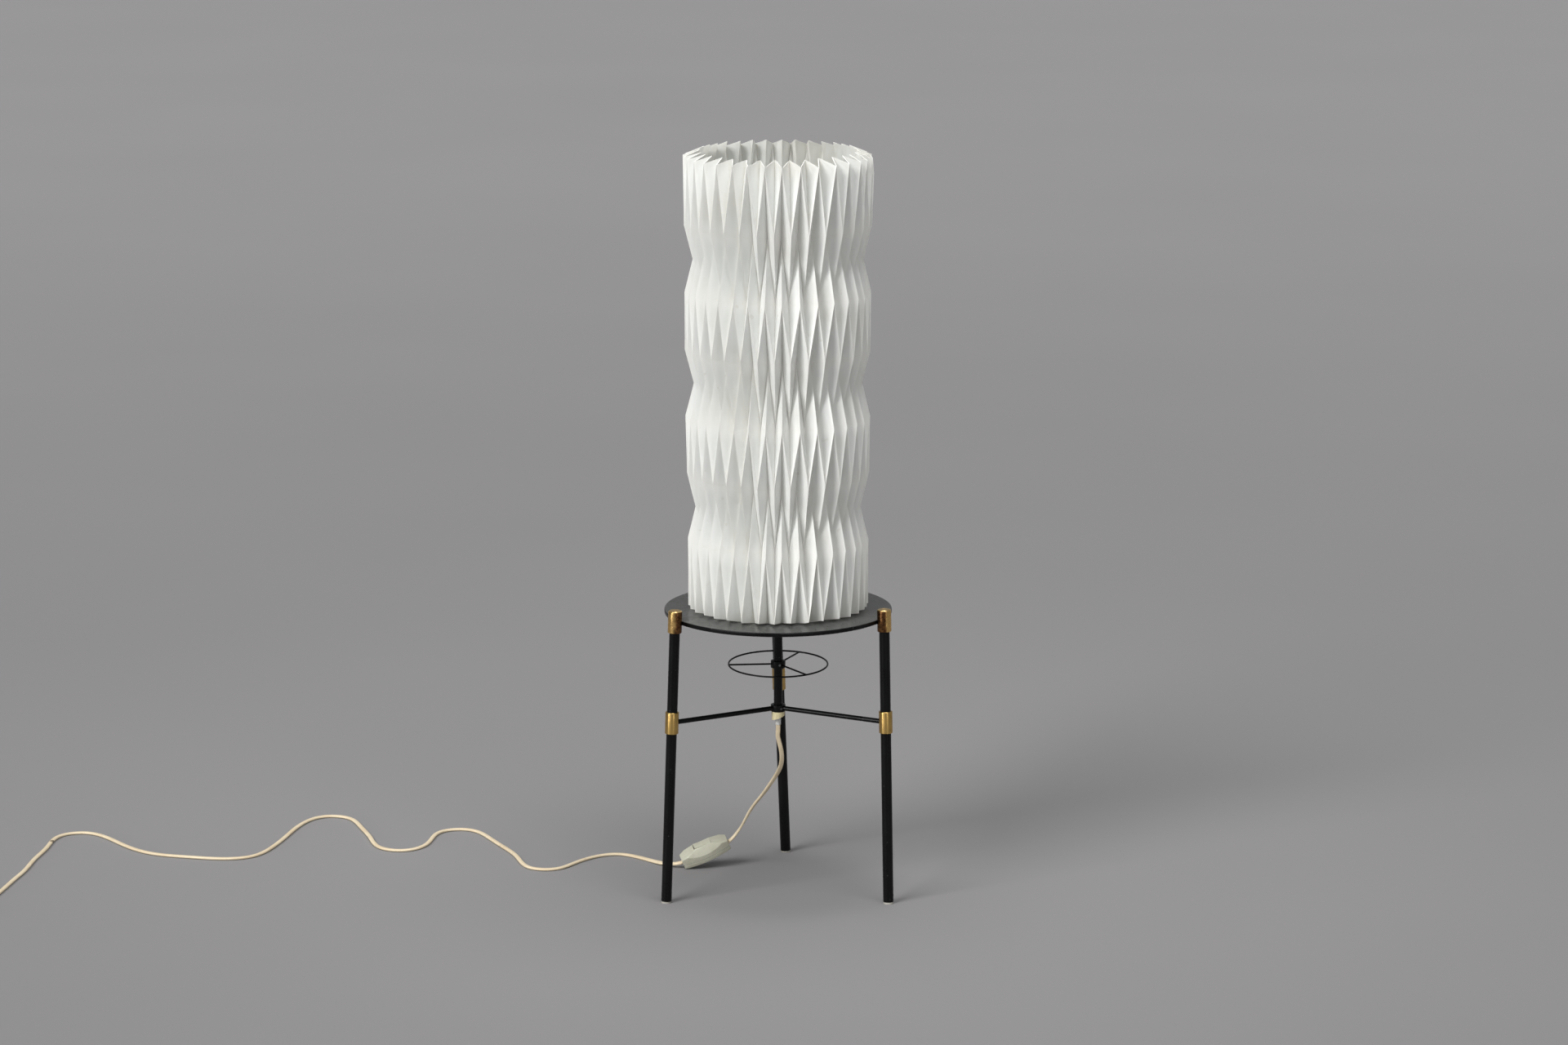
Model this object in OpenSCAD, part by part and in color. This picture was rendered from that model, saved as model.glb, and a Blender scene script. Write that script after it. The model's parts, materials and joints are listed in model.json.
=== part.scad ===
// Table lamp: a folded paper shade that stands on a round tray with three legs,
// a spreader low between the legs, a wire ring on the stem and a flat lead.
// Millimetres. The stem is on the Z axis and the table top is at z = 0.

/* [Shade] */
// Number of pleats round the shade
pleats = 34; // [26:1:42]
// Radius over the folds at the top row
shade_r_top = 108; // [100:0.5:114]
// Radius over the folds at the bottom row
shade_r_bottom = 103.4; // [98:0.2:112]
// How far the inner folds lie behind the outer ones
pleat_depth = 18.5; // [14:0.5:22]
// Card thickness, measured towards the axis
shade_wall = 1.2; // [0.8:0.1:2]
// Height of the top and bottom bands
end_band_h = 77.5; // [60:0.5:90]
// Height of the bands whose folds stand out
ridge_band_h = 65; // [50:0.5:80]
// Height of the bands whose folds stand in
valley_band_h = 78.2; // [60:0.2:90]
// How far the inner folds rise above the outer ones at the top rim
rim_rise = 7; // [0:0.5:12]
// How far the outer folds are lifted off the tray
foot_lift = 3.4; // [1:0.2:6]
// Turn of the pleats round the stem, in degrees
shade_turn = 1.5; // [0:0.5:10]
// How far an inner corner drops below its row
tip_drop = 5; // [0:0.5:8]
// How far an inner corner rises above its row
tip_rise = 1.5; // [0:0.5:5]
// Gap left under the standing shade
seat_gap = 0.3; // [0.1:0.1:0.6]

/* [Tray] */
// Diameter of the round tray
tray_d = 262; // [250:1:280]
// Thickness of the tray
tray_t = 5; // [4:0.5:8]
// Rounding of the tray's rim
tray_edge = 1.2; // [0.6:0.2:2]
// Height of the tray's top above the table
tray_top = 333; // [300:1:380]

/* [Legs] */
// Outer diameter of a leg tube
leg_od = 12; // [10:0.5:14]
// Wall of a leg tube
leg_wall = 1.2; // [0.8:0.1:2]
// How much further out the feet stand than the caps
leg_spread = 9; // [0:0.5:20]
// How far the left foot is turned clockwise from its cap, in degrees
leg_turn = 3; // [0:0.5:8]
// Wall of the brass cap
cap_wall = 2; // [1.6:0.1:2.6]
// Height of the brass cap
cap_h = 25.5; // [22:0.5:30]
// Thickness of the cap's closed top
cap_top_t = 2.5; // [1.5:0.5:4]
// Chamfer round the cap's top
cap_chamfer = 1; // [0.4:0.2:1.4]
// How far the cap stands above the tray
cap_rise = 12.4; // [10:0.2:15]
// How far the tray's rim is let into the cap's wall
cap_bite = 1.5; // [0.8:0.1:1.5]
// Wall of the brass sleeve
sleeve_wall = 1.7; // [1.3:0.1:2.3]
// Height of the brass sleeve
sleeve_h = 25.3; // [20:0.1:30]
// Thickness of the pale glide under a leg
foot_t = 2.2; // [1.6:0.2:4]
// Height of the glide's peg inside the leg
foot_peg_h = 8; // [5:1:14]

/* [Spreader and stem] */
// Height of the three rods above the table
spreader_z = 214; // [205:1:230]
// Diameter of a rod
rod_d = 5.6; // [4:0.1:5.8]
// How deep a rod is let into the hub
rod_seat = 1.5; // [1:0.1:2]
// Wall of the hub round the stem
hub_wall = 3.5; // [3.2:0.1:5]
// Height of the hub
hub_h = 8; // [7:0.5:12]
// Outer diameter of the stem
stem_od = 10; // [9:0.5:12]
// Wall of the stem
stem_wall = 1; // [0.6:0.1:1]
// Diameter of the grub screws
screw_d = 2.6; // [2:0.1:2.8]
// Direction of the hub's grub screw, in degrees from the X axis
screw_turn = 294; // [250:1:296]

/* [Wire ring] */
// Height of the ring's collar above the table
ring_z = 266; // [245:1:290]
// Radius of the wire ring
ring_r = 57.2; // [45:0.2:65]
// Diameter of the ring's wire
ring_wire = 2; // [1.6:0.2:3]
// How far the front of the ring hangs down, in degrees
ring_tilt = 2; // [0:0.5:5]
// Turn of the spokes round the stem, in degrees
ring_turn = 3; // [-20:1:20]
// Wall of the collar round the stem
collar_wall = 3.5; // [3:0.1:5]
// Height of the collar
collar_h = 8.2; // [6:0.2:10]
// How deep a spoke is let into the collar
spoke_seat = 1.5; // [1:0.1:2]

/* [Cord] */
// Width of the flat cord
cord_w = 5.2; // [4.8:0.1:5.2]
// Thickness of the flat cord
cord_t = 3.2; // [2.8:0.1:3.2]
// Diameter of the bush under the hub
bush_d = 15.4; // [14:0.2:17]
// Length of the bush on its long side
bush_l = 10.5; // [9:0.5:14]
// Difference between the bush's long and short sides
bush_slant = 5.5; // [0:0.5:7]
// Length of the clear sleeve round the cord
clear_l = 26; // [22:1:40]
// How far the clear sleeve shows under the hub
clear_show = 16; // [14:1:20]
// Turns in the spare cord's coil
coil_turns = 2.5; // [1.5, 2.5, 3.5]
// Radius of the coil's outer turn
coil_r = 34; // [33:1:40]
// Distance between the coil's turns
coil_pitch = 5.8; // [5.8:0.1:6.6]
// Distance between the coil's layers
coil_layer = 4.2; // [4.2:0.1:5]

/* [Switch] */
// Length of the switch on the cord
switch_l = 59; // [52:1:66]
// Width of the switch at its middle
switch_w = 25; // [21:0.5:28]
// Width of the switch at its ends
switch_end_w = 14.5; // [12:0.5:17]
// Height of the switch
switch_h = 19; // [17.5:0.5:21]
// Height of the switch's lower half
switch_base_h = 5; // [4:0.5:6]
// Length of the rocker
rocker_l = 20.6; // [18:0.2:22]
// Width of the rocker
rocker_w = 9.5; // [8:0.5:10]
// Travel of the rocker, in degrees
rocker_travel = 8; // [4:1:10]
// Diameter of the rocker's pin
rocker_pin_d = 2.5; // [2:0.1:3]

/* [Plug] */
// Width of the plug
plug_w = 35.3; // [34:0.1:38]
// Thickness of the plug
plug_t = 13.7; // [12.7:0.1:15]
// Length of the plug's body
plug_l = 35; // [30:1:45]
// Diameter of a plug pin
pin_d = 4; // [3.8:0.1:4.2]
// Length of a plug pin
pin_l = 19; // [17:0.5:21]
// Distance between the plug pins
pin_gap = 19; // [18:0.2:20]
// Length of the plug's strain relief
relief_l = 22; // [20:1:30]

/* [Lamp holder and bulb] */
// Outer diameter of the lamp holder
holder_d = 40; // [38:0.5:46]
// Height of the holder's lower cup
holder_cup_h = 20; // [18:0.5:26]
// Height of the holder's upper shell
holder_shell_h = 31; // [28:0.5:34]
// Diameter of the bulb's screw cap
bulb_cap_d = 26.4; // [26:0.1:26.8]
// Height of the bulb's screw cap
bulb_cap_h = 23; // [21:0.5:24]
// Diameter of the bulb's glass
bulb_d = 60; // [45:1:70]
// Height of the bulb from its contact to its top
bulb_l = 105; // [98:1:120]

/* [Hidden] */
$fn = 64;

// Running and slip fits, and the room past a cut
fit_gap = 0.05;
cut = 1;

// Colours
black_paint = "#1c1b1c";
satin_brass = "#b4924e";
paper_white = "#ece5d6";
cream_plastic = "#d9cba6";
grey_ivory = "#b7b6a2";
cord_cream = "#dccfb2";
zinc = "#b9bbbd";
black_plastic = "#222224";
glide_white = "#d8d8d2";

// Tray and shade
tray_z = tray_top - tray_t;
tray_r = tray_d / 2;
shade_z = tray_top + seat_gap;
band_h = [end_band_h, valley_band_h, ridge_band_h, valley_band_h, ridge_band_h, valley_band_h, end_band_h];
inner_dz = [-foot_lift, tip_rise, -tip_drop, tip_rise, -tip_drop, tip_rise, -tip_drop, rim_rise];
last_row = len(band_h);
function total(v, n) = n == 0 ? 0 : v[n - 1] + total(v, n - 1);
function row_z(i) = shade_z + foot_lift + total(band_h, i);
function row_r(i) = shade_r_bottom + (shade_r_top - shade_r_bottom) * total(band_h, i) / total(band_h, last_row);

// Legs: a = direction of the leg, s = distance from the foot along its axis
leg_dirs = [210, 330, 90];
cap_d = leg_od + 2 * (fit_gap + cap_wall);
sleeve_d = leg_od + 2 * (fit_gap + sleeve_wall);
cap_circle_r = tray_r - cap_bite + cap_d / 2;
foot_circle_r = cap_circle_r + leg_spread;
cap_mid_z = tray_top + cap_rise - cap_h / 2;
function round_z(r, a) = [r * cos(a), r * sin(a), 0];
// The right foot is turned less than the left one, the back foot more
right_turn = leg_turn - 1.5;
back_turn = leg_turn + 2;
function turn_of(a) = a == leg_dirs[0] ? leg_turn : a == leg_dirs[1] ? right_turn : back_turn;
function foot_point(a) = round_z(foot_circle_r, a - turn_of(a));
function leg_vector(a) = round_z(cap_circle_r, a) + [0, 0, cap_mid_z] - foot_point(a);
function leg_len(a) = norm(leg_vector(a));
function leg_lean(a) = acos(cap_mid_z / leg_len(a));
leg_bore = leg_od - 2 * leg_wall;
function leg_heading(a) = atan2(leg_vector(a).y, leg_vector(a).x);

// Spreader rods, from the stem to the leg's axis
function sleeve_s(a) = spreader_z / cos(leg_lean(a));
function rod_target(a) = foot_point(a) + leg_vector(a) * sleeve_s(a) / leg_len(a);
function rod_heading(a) = atan2(rod_target(a).y, rod_target(a).x);
function rod_reach(a) = norm([rod_target(a).x, rod_target(a).y]);
hub_z = spreader_z - hub_h / 2;
hub_d = stem_od + 2 * (fit_gap + hub_wall);
collar_d = stem_od + 2 * (fit_gap + collar_wall);
collar_z = ring_z - collar_h / 2;
spoke_dirs = [60, 180, 300];
// The collar's screw stands beside the front spoke
collar_screw_turn = spoke_dirs[2] + ring_turn - 23;
screw_out = 0.6;
screw_slot = [0.7, 1];

// Stem, nut and washer
stem_bore = stem_od - 2 * stem_wall;
neck_d = stem_od - 0.5;
washer_d = 22;
washer_t = 1.2;
nut_across = 14;
nut_h = 4;
nut_top = tray_top + washer_t + nut_h;

// Lamp holder
cup_floor = 3;
cup_wall = 2;
holder_wall_gap = 0.4;
cup_top = nut_top + holder_cup_h;
insert_z = cup_top - 8;
stem_top = nut_top + cup_floor + 3;
shell_top = cup_top + holder_shell_h;
ring_lip = 2.5;
holder_ring_h = 6;
holder_step = 2;
ring_down = 8;
contact_h = 4.5;

// Bulb
bulb_z = cup_top + contact_h + seat_gap;
contact_t = 2;
glass_z = bulb_z + contact_t + bulb_cap_h;
glass_wall = 0.8;
glass_neck_r = bulb_cap_d / 2 - 0.2;
ball_z = bulb_z + bulb_l - bulb_d / 2;

// Bush and clear sleeve
spigot_h = 6;
clear_bore = 5.5;
clear_top_d = 6.8;
clear_end_d = 6.2;
exit_z = hub_z - clear_show;

// Switch: its frame stands on the left end's lower corner
switch_tilt = 23;
switch_roll = 17;
switch_turn = 6;
switch_lift = switch_end_w / 2 * sin(switch_roll) * cos(switch_tilt) + fit_gap;
switch_at = [-109, 78.5, switch_lift];
switch_entry = 3;
switch_entry_z = 6;
entry_gap = 0.6;
switch_end_share = 0.66;
switch_side_share = 0.55;
switch_flat_w = 12.4;
rocker_gap = 0.6;
rocker_side_gap = 0.2;
rocker_pin_z = switch_h - 5.5;
rocker_below = 2.5;
rocker_tip = 6.4;
rocker_waist = 5.7;
rocker_room = 4.5;
pin_reach = 7.5;
function tip_up(p, t) = [p.x * cos(t) - p.z * sin(t), p.y, p.x * sin(t) + p.z * cos(t)];
function roll_back(p, t) = [p.x, p.y * cos(t) - p.z * sin(t), p.y * sin(t) + p.z * cos(t)];
function turn_round(p, t) = [p.x * cos(t) - p.y * sin(t), p.x * sin(t) + p.y * cos(t), p.z];
function switch_dir(p) = turn_round(tip_up(roll_back(p, switch_roll), switch_tilt), switch_turn);
function switch_point(p) = switch_at + switch_dir(p);
switch_right = switch_point([switch_l - switch_entry, 0, switch_entry_z]);
switch_left = switch_point([switch_entry, 0, switch_entry_z]);
switch_axis = switch_dir([1, 0, 0]);
switch_up = switch_dir([0, 0, 1]);

// Coil and plug, put away past the far end of the lead
lie_z = cord_t / 2 + 0.1;
coil_at = [-950, -96];
coil_lead = 6;
coil_rings = 24;
coil_climb = 0.25;
plug_z = plug_t / 2 + fit_gap;
plug_at = [coil_at.x - coil_r, coil_at.y + coil_lead, plug_z];
relief_start_d = 6.2;
relief_end_d = 10;
relief_grooves = 4;
pin_seat = 5;
pin_sleeve_l = 10;
pin_core_d = 2.6;
pin_sleeve_d = 3.4;
pin_tip_l = pin_l - pin_sleeve_l - 1;

// Control points of the lead from the clear sleeve down to the switch
upper_route = [
    [0, 0, exit_z], [0, 0, exit_z - 10],
    [-1, 1, 180], [4, 4, 163], [5, 12, 148], [3, 21, 135], [-5, 32, 119],
    [-15, 45, 100], [-26, 56, 84], [-33, 64, 71], [-41, 77, 50],
    switch_right + 7 * switch_axis, switch_right
];
// Control points of the lead from the switch across the table to the coil
lower_floor = [
    [-138, 88], [-186, 152], [-238, 104], [-254, 66], [-298, 70], [-306, 130], [-326, 170],
    [-344, 212], [-364, 256], [-412, 246], [-412, 184], [-438, 150], [-478, 164], [-486, 218],
    [-502, 264], [-514, 312], [-556, 320], [-578, 274], [-588, 226], [-600, 180], [-618, 130],
    [-660, 124], [-698, 136], [-742, 146], [-776, 180], [-800, 220], [-830, 254], [-870, 238],
    [-870, 180], [-882, 130], [-884, 86], [-894, 44], [-902, -6],
    [coil_at.x + coil_r, coil_at.y + coil_lead + 26], [coil_at.x + coil_r, coil_at.y + coil_lead]
];
lower_route = concat(
    [switch_left, switch_left - 8 * switch_axis],
    [for (p = lower_floor) [p.x, p.y, lie_z]]
);
upper_rings = 13;
lower_rings = 67;
// A ring takes this much length, or this much turning in degrees
ring_length = 46;
ring_bend = 24;
samples = 6;

// Outline of the flat cord, in shares of its half width and half thickness
lead_shape = [[1, 0.4], [0.62, 1], [-0.62, 1], [-1, 0.4], [-1, -0.4], [-0.62, -1], [0.62, -1], [1, -0.4]];
coil_shape = [[1, 0], [0.6, 1], [-0.6, 1], [-1, 0], [-0.6, -1], [0.6, -1]];
function cord_outline(shape) = [for (p = shape) [p.x * cord_w / 2, p.y * cord_t / 2]];

function unit(v) = v / norm(v);

// A point of the smooth curve that the control points steer, u from 0 to the last index
function curve_point(route, u) =
    let(last = len(route) - 1)
    let(i = min(floor(u), last - 1))
    let(t = u - i)
    let(before = i == 0 ? 2 * route[0] - route[1] : route[i - 1])
    let(after = i == last - 1 ? 2 * route[last] - route[last - 1] : route[i + 2])
    (pow(1 - t, 3) * before
        + (3 * pow(t, 3) - 6 * t * t + 4) * route[i]
        + (-3 * pow(t, 3) + 3 * t * t + 3 * t + 1) * route[i + 1]
        + pow(t, 3) * after) / 6;
function curve_dir(route, u) =
    let(last = len(route) - 1)
    let(e = 0.02)
    unit(curve_point(route, min(u + e, last)) - curve_point(route, max(u - e, 0)));

// How many rings a short run of the curve asks for
function ring_need(route, u, v) =
    norm(curve_point(route, v) - curve_point(route, u)) / ring_length
    + acos(min(1, curve_dir(route, u) * curve_dir(route, v))) / ring_bend;
// Rows of [rings asked for so far, u]
function ring_table(route) =
    let(steps = samples * (len(route) - 1))
    [for (i = 0, need = 0; i <= steps;
        need = need + (i < steps ? ring_need(route, i / samples, (i + 1) / samples) : 0), i = i + 1)
        [need, i / samples]];
// The places of the rings, closer together where the cord bends
function ring_places(route, count) =
    let(table = ring_table(route))
    let(all = table[len(table) - 1][0])
    [for (k = [0:count - 1]) lookup(all * k / (count - 1), table)];

// One ring: centre, direction, the side that faces up, and the outline
function ring_at(centre, dir, up, outline) =
    let(top = unit(up - (up * dir) * dir))
    let(side = cross(dir, top))
    [for (p = outline) centre + p.x * side + p.y * top];

// The coil: t = turns so far, a clockwise spiral in, then out again on the next layer
function ease(t) = let(s = max(0, min(1, t))) s * s * (3 - 2 * s);
function coil_radius(t) = coil_r - coil_pitch * min(t, coil_turns - t);
function coil_height(t) =
    lie_z + coil_layer * ease((t - coil_turns / 2 + coil_climb) / (2 * coil_climb))
    + (plug_z - lie_z - coil_layer) * ease((t - coil_turns + 0.3) / 0.25);
function coil_point(t) =
    [coil_at.x, coil_at.y, 0] + round_z(coil_radius(t), -360 * t) + [0, 0, coil_height(t)];
coil_start = coil_point(0);
coil_end = coil_point(coil_turns);
coil_line = concat(
    [coil_start + [0, coil_lead, 0]],
    [for (k = [0:coil_turns * coil_rings]) coil_point(k / coil_rings)],
    [coil_end + [0, coil_lead, 0]]
);
function line_dir(line, i) =
    i == 0 || i == 1 ? unit(line[1] - line[0])
    : i >= len(line) - 2 ? unit(line[len(line) - 1] - line[len(line) - 2])
    : unit(line[i + 1] - line[i - 1]);

up_upper = [0, 1, 0];
function blend(a, b, s) = a + (b - a) * max(0, min(1, s));
function lead_rings(route, count, up_start, up_end, share) =
    let(places = ring_places(route, count))
    [for (k = [0:count - 1])
        ring_at(curve_point(route, places[k]), curve_dir(route, places[k]),
            blend(up_start, up_end, k / (count - 1) / share), cord_outline(lead_shape))];
coil_sections = [for (i = [0:len(coil_line) - 1])
    ring_at(coil_line[i], line_dir(coil_line, i), [0, 0, 1], cord_outline(coil_shape))];

// The least gap of the coil to itself, between corners of turns that lie side by side
function ring_gap(a, b) = min([for (p = a, q = b) norm(p - q)]);
coil_gap = min([
    for (i = [0:len(coil_sections) - 1 - coil_rings])
        for (j = [i + coil_rings - 1:len(coil_sections) - 1])
            ring_gap(coil_sections[i], coil_sections[j])
]);
echo(coil_least_gap_mm = coil_gap);
function line_length(line) = total([for (i = [1:len(line) - 1]) norm(line[i] - line[i - 1])], len(line) - 1);
function route_line(route) = [for (k = [0:samples * (len(route) - 1)]) curve_point(route, k / samples)];
echo(lead_lengths_mm = [line_length(route_line(upper_route)), line_length(route_line(lower_route)), line_length(coil_line)]);

// Shared shapes

module ringed_tube(rings) {
    sides = len(rings[0]);
    last = len(rings) - 1;
    polyhedron(
        points = [for (r = rings, p = r) p],
        faces = concat(
            [[for (k = [0:sides - 1]) k]],
            [for (i = [0:last - 1], k = [0:sides - 1])
                [i * sides + k, (i + 1) * sides + k, i * sides + (k + 1) % sides]],
            [for (i = [0:last - 1], k = [0:sides - 1])
                [(i + 1) * sides + k, (i + 1) * sides + (k + 1) % sides, i * sides + (k + 1) % sides]],
            [[for (k = [sides - 1:-1:0]) last * sides + k]]
        )
    );
}

module on_leg(a, s = 0) {
    translate(foot_point(a)) rotate([0, leg_lean(a), leg_heading(a)]) translate([0, 0, s]) children();
}

module on_rod(a) {
    translate([0, 0, spreader_z]) rotate([0, 90, rod_heading(a)]) children();
}

module on_ring(a) {
    translate([0, 0, ring_z]) rotate([ring_tilt, 0, 0]) rotate([0, 90, a + ring_turn]) children();
}

module at_switch() {
    translate(switch_at) rotate([switch_roll, -switch_tilt, switch_turn]) children();
}

module at_plug(x = 0, y = 0) {
    translate(plug_at) rotate([0, 0, 90]) translate([x, y, 0]) rotate([0, 90, 0]) children();
}

// A round bar with a chamfer at each end
module bar(d, h, low, high) {
    rotate_extrude()
        polygon([[0, 0], [d / 2 - low, 0], [d / 2, low], [d / 2, h - high], [d / 2 - high, h], [0, h]]);
}

module tube(od, bore, h) {
    difference() {
        cylinder(h = h, d = od);
        translate([0, 0, -cut]) cylinder(h = h + 2 * cut, d = bore);
    }
}

// A grub screw from the stem's surface out through a wall, with its slot
module grub_screw(z, outer_d, turn) {
    reach = outer_d / 2 + screw_out;
    start = stem_od / 2 + fit_gap;
    color(zinc) translate([0, 0, z]) rotate([0, 90, turn]) difference() {
        translate([0, 0, start]) cylinder(h = reach - start, d = screw_d);
        translate([-screw_d, -screw_slot[0] / 2, reach - screw_slot[1]])
            cube([2 * screw_d, screw_slot[0], 2 * screw_slot[1]]);
    }
}

module grub_hole(z, outer_d, turn) {
    translate([0, 0, z]) rotate([0, 90, turn])
        cylinder(h = outer_d / 2 + cut, d = screw_d + 2 * fit_gap);
}

// Shade: rows of corners, joined by triangles that fold out or in

function corner_is_out(i, j) = (i + j) % 2 == 1;
function shade_corner(i, j, inset) =
    let(out = corner_is_out(i, j))
    let(r = row_r(i) - inset - (out ? 0 : pleat_depth))
    round_z(r, shade_turn - 90 + j * 180 / pleats) + [0, 0, row_z(i) + (out ? 0 : inner_dz[i])];

module shade() {
    n = 2 * pleats;
    rows = last_row + 1;
    skin = rows * n;
    function id(i, j, s) = s * skin + i * n + j % n;
    // Bands with an even number fold out along their diagonals, the others fold in
    function slope(i, j) = corner_is_out(i, j) == (i % 2 == 0);
    function facing(s, f) = s == 0 ? f : [f[2], f[1], f[0]];
    color(paper_white) polyhedron(
        points = concat(
            [for (i = [0:last_row], j = [0:n - 1]) shade_corner(i, j, 0)],
            [for (i = [0:last_row], j = [0:n - 1]) shade_corner(i, j, shade_wall)]
        ),
        faces = concat(
            [for (s = [0, 1], i = [0:last_row - 1], j = [0:n - 1]) facing(s, slope(i, j)
                ? [id(i, j, s), id(i + 1, j, s), id(i + 1, j + 1, s)]
                : [id(i, j, s), id(i + 1, j, s), id(i, j + 1, s)])],
            [for (s = [0, 1], i = [0:last_row - 1], j = [0:n - 1]) facing(s, slope(i, j)
                ? [id(i, j, s), id(i + 1, j + 1, s), id(i, j + 1, s)]
                : [id(i + 1, j, s), id(i + 1, j + 1, s), id(i, j + 1, s)])],
            [for (j = [0:n - 1]) [id(0, j, 0), id(0, j + 1, 0), id(0, j + 1, 1)]],
            [for (j = [0:n - 1]) [id(0, j, 0), id(0, j + 1, 1), id(0, j, 1)]],
            [for (j = [0:n - 1]) [id(last_row, j, 0), id(last_row, j + 1, 1), id(last_row, j + 1, 0)]],
            [for (j = [0:n - 1]) [id(last_row, j, 0), id(last_row, j, 1), id(last_row, j + 1, 1)]]
        )
    );
}

// Tray

module tray() {
    color(black_paint) difference() {
        translate([0, 0, tray_z]) union() {
            cylinder(h = tray_t, r = tray_r - tray_edge);
            translate([0, 0, tray_edge]) cylinder(h = tray_t - 2 * tray_edge, r = tray_r);
            for (z = [tray_edge, tray_t - tray_edge])
                translate([0, 0, z]) rotate_extrude()
                    translate([tray_r - tray_edge, 0]) circle(r = tray_edge);
        }
        translate([0, 0, tray_z - cut]) cylinder(h = tray_t + 2 * cut, d = neck_d + 2 * fit_gap);
    }
}

// Legs

module leg(a) {
    top = leg_len(a) + cap_h / 2 - cap_top_t;
    color(black_paint) on_leg(a, foot_t) tube(leg_od, leg_bore, top - foot_t);
}
module leg_left() { leg(leg_dirs[0]); }
module leg_right() { leg(leg_dirs[1]); }
module leg_back() { leg(leg_dirs[2]); }

module leg_cap(a) {
    color(satin_brass) difference() {
        on_leg(a, leg_len(a) - cap_h / 2) rotate([0, 0, 180]) bar(cap_d, cap_h, 0.3, cap_chamfer);
        on_leg(a, leg_len(a) - cap_h / 2 - cut) rotate([0, 0, 180])
            cylinder(h = cap_h - cap_top_t + cut, d = leg_od + 2 * fit_gap);
        translate([0, 0, tray_z]) cylinder(h = tray_t, r = tray_r + fit_gap);
    }
}
module cap_left() { leg_cap(leg_dirs[0]); }
module cap_right() { leg_cap(leg_dirs[1]); }
module cap_back() { leg_cap(leg_dirs[2]); }

module leg_sleeve(a) {
    color(satin_brass) difference() {
        on_leg(a, sleeve_s(a) - sleeve_h / 2) bar(sleeve_d, sleeve_h, 0.4, 0.4);
        on_leg(a, sleeve_s(a) - sleeve_h / 2 - cut) cylinder(h = sleeve_h + 2 * cut, d = leg_od + 2 * fit_gap);
        on_rod(a) translate([0, 0, rod_reach(a) - sleeve_d]) cylinder(h = sleeve_d, d = rod_d + 2 * fit_gap);
    }
}
module sleeve_left() { leg_sleeve(leg_dirs[0]); }
module sleeve_right() { leg_sleeve(leg_dirs[1]); }
module sleeve_back() { leg_sleeve(leg_dirs[2]); }

// A pale glide under the tube, with a peg inside it, cut level with the table
module leg_foot(a) {
    size = 2 * leg_od;
    disc_r = leg_od / 2 - 0.2;
    peg_r = leg_bore / 2 - fit_gap;
    color(glide_white) difference() {
        on_leg(a) rotate([0, 0, 45]) rotate_extrude()
            polygon([[0, -cut], [disc_r, -cut], [disc_r, foot_t], [peg_r, foot_t],
                [peg_r, foot_t + foot_peg_h], [0, foot_t + foot_peg_h]]);
        translate(foot_point(a) - [size / 2, size / 2, size]) cube(size);
    }
}
module foot_left() { leg_foot(leg_dirs[0]); }
module foot_right() { leg_foot(leg_dirs[1]); }
module foot_back() { leg_foot(leg_dirs[2]); }

// Spreader

module spreader_hub() {
    color(black_paint) difference() {
        translate([0, 0, hub_z]) bar(hub_d, hub_h, 0.4, 0.4);
        translate([0, 0, hub_z - cut]) cylinder(h = hub_h + 2 * cut, d = stem_od + 2 * fit_gap);
        for (a = leg_dirs)
            on_rod(a) translate([0, 0, hub_d / 2 - rod_seat])
                cylinder(h = rod_seat + cut, d = rod_d + 2 * fit_gap);
        grub_hole(spreader_z, hub_d, screw_turn);
    }
}

module spreader_rod(a) {
    start = hub_d / 2 - rod_seat;
    end = rod_reach(a) - leg_od / 2 - seat_gap;
    color(black_paint) on_rod(a) translate([0, 0, start]) cylinder(h = end - start, d = rod_d);
}
module rod_left() { spreader_rod(leg_dirs[0]); }
module rod_right() { spreader_rod(leg_dirs[1]); }
module rod_back() { spreader_rod(leg_dirs[2]); }

module hub_screw() { grub_screw(spreader_z, hub_d, screw_turn); }

// Stem

module stem() {
    color(black_paint) difference() {
        union() {
            translate([0, 0, hub_z]) cylinder(h = tray_z - hub_z, d = stem_od);
            translate([0, 0, tray_z]) cylinder(h = stem_top - tray_z, d = neck_d);
        }
        translate([0, 0, hub_z - cut]) cylinder(h = stem_top - hub_z + 2 * cut, d = stem_bore);
    }
}

module tray_washer() {
    color(zinc) translate([0, 0, tray_top]) tube(washer_d, neck_d + 2 * fit_gap, washer_t);
}

module stem_nut() {
    color(zinc) translate([0, 0, tray_top + washer_t]) difference() {
        cylinder(h = nut_h, d = nut_across / cos(30), $fn = 6);
        translate([0, 0, -cut]) cylinder(h = nut_h + 2 * cut, d = neck_d + 2 * fit_gap);
    }
}

// Wire ring on its collar

module ring_torus() {
    rotate_extrude() translate([ring_r, 0]) circle(d = ring_wire);
}

module wire_ring() {
    color(black_paint) translate([0, 0, ring_z]) rotate([ring_tilt, 0, 0]) ring_torus();
}

module spoke(a) {
    start = collar_d / 2 - spoke_seat;
    end = ring_r - ring_wire / 4;
    color(black_paint) difference() {
        on_ring(a) translate([0, 0, start]) cylinder(h = end - start, d = ring_wire);
        translate([0, 0, ring_z]) rotate([ring_tilt, 0, 0]) ring_torus();
    }
}
module spoke_right() { spoke(spoke_dirs[0]); }
module spoke_left() { spoke(spoke_dirs[1]); }
module spoke_front() { spoke(spoke_dirs[2]); }

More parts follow.
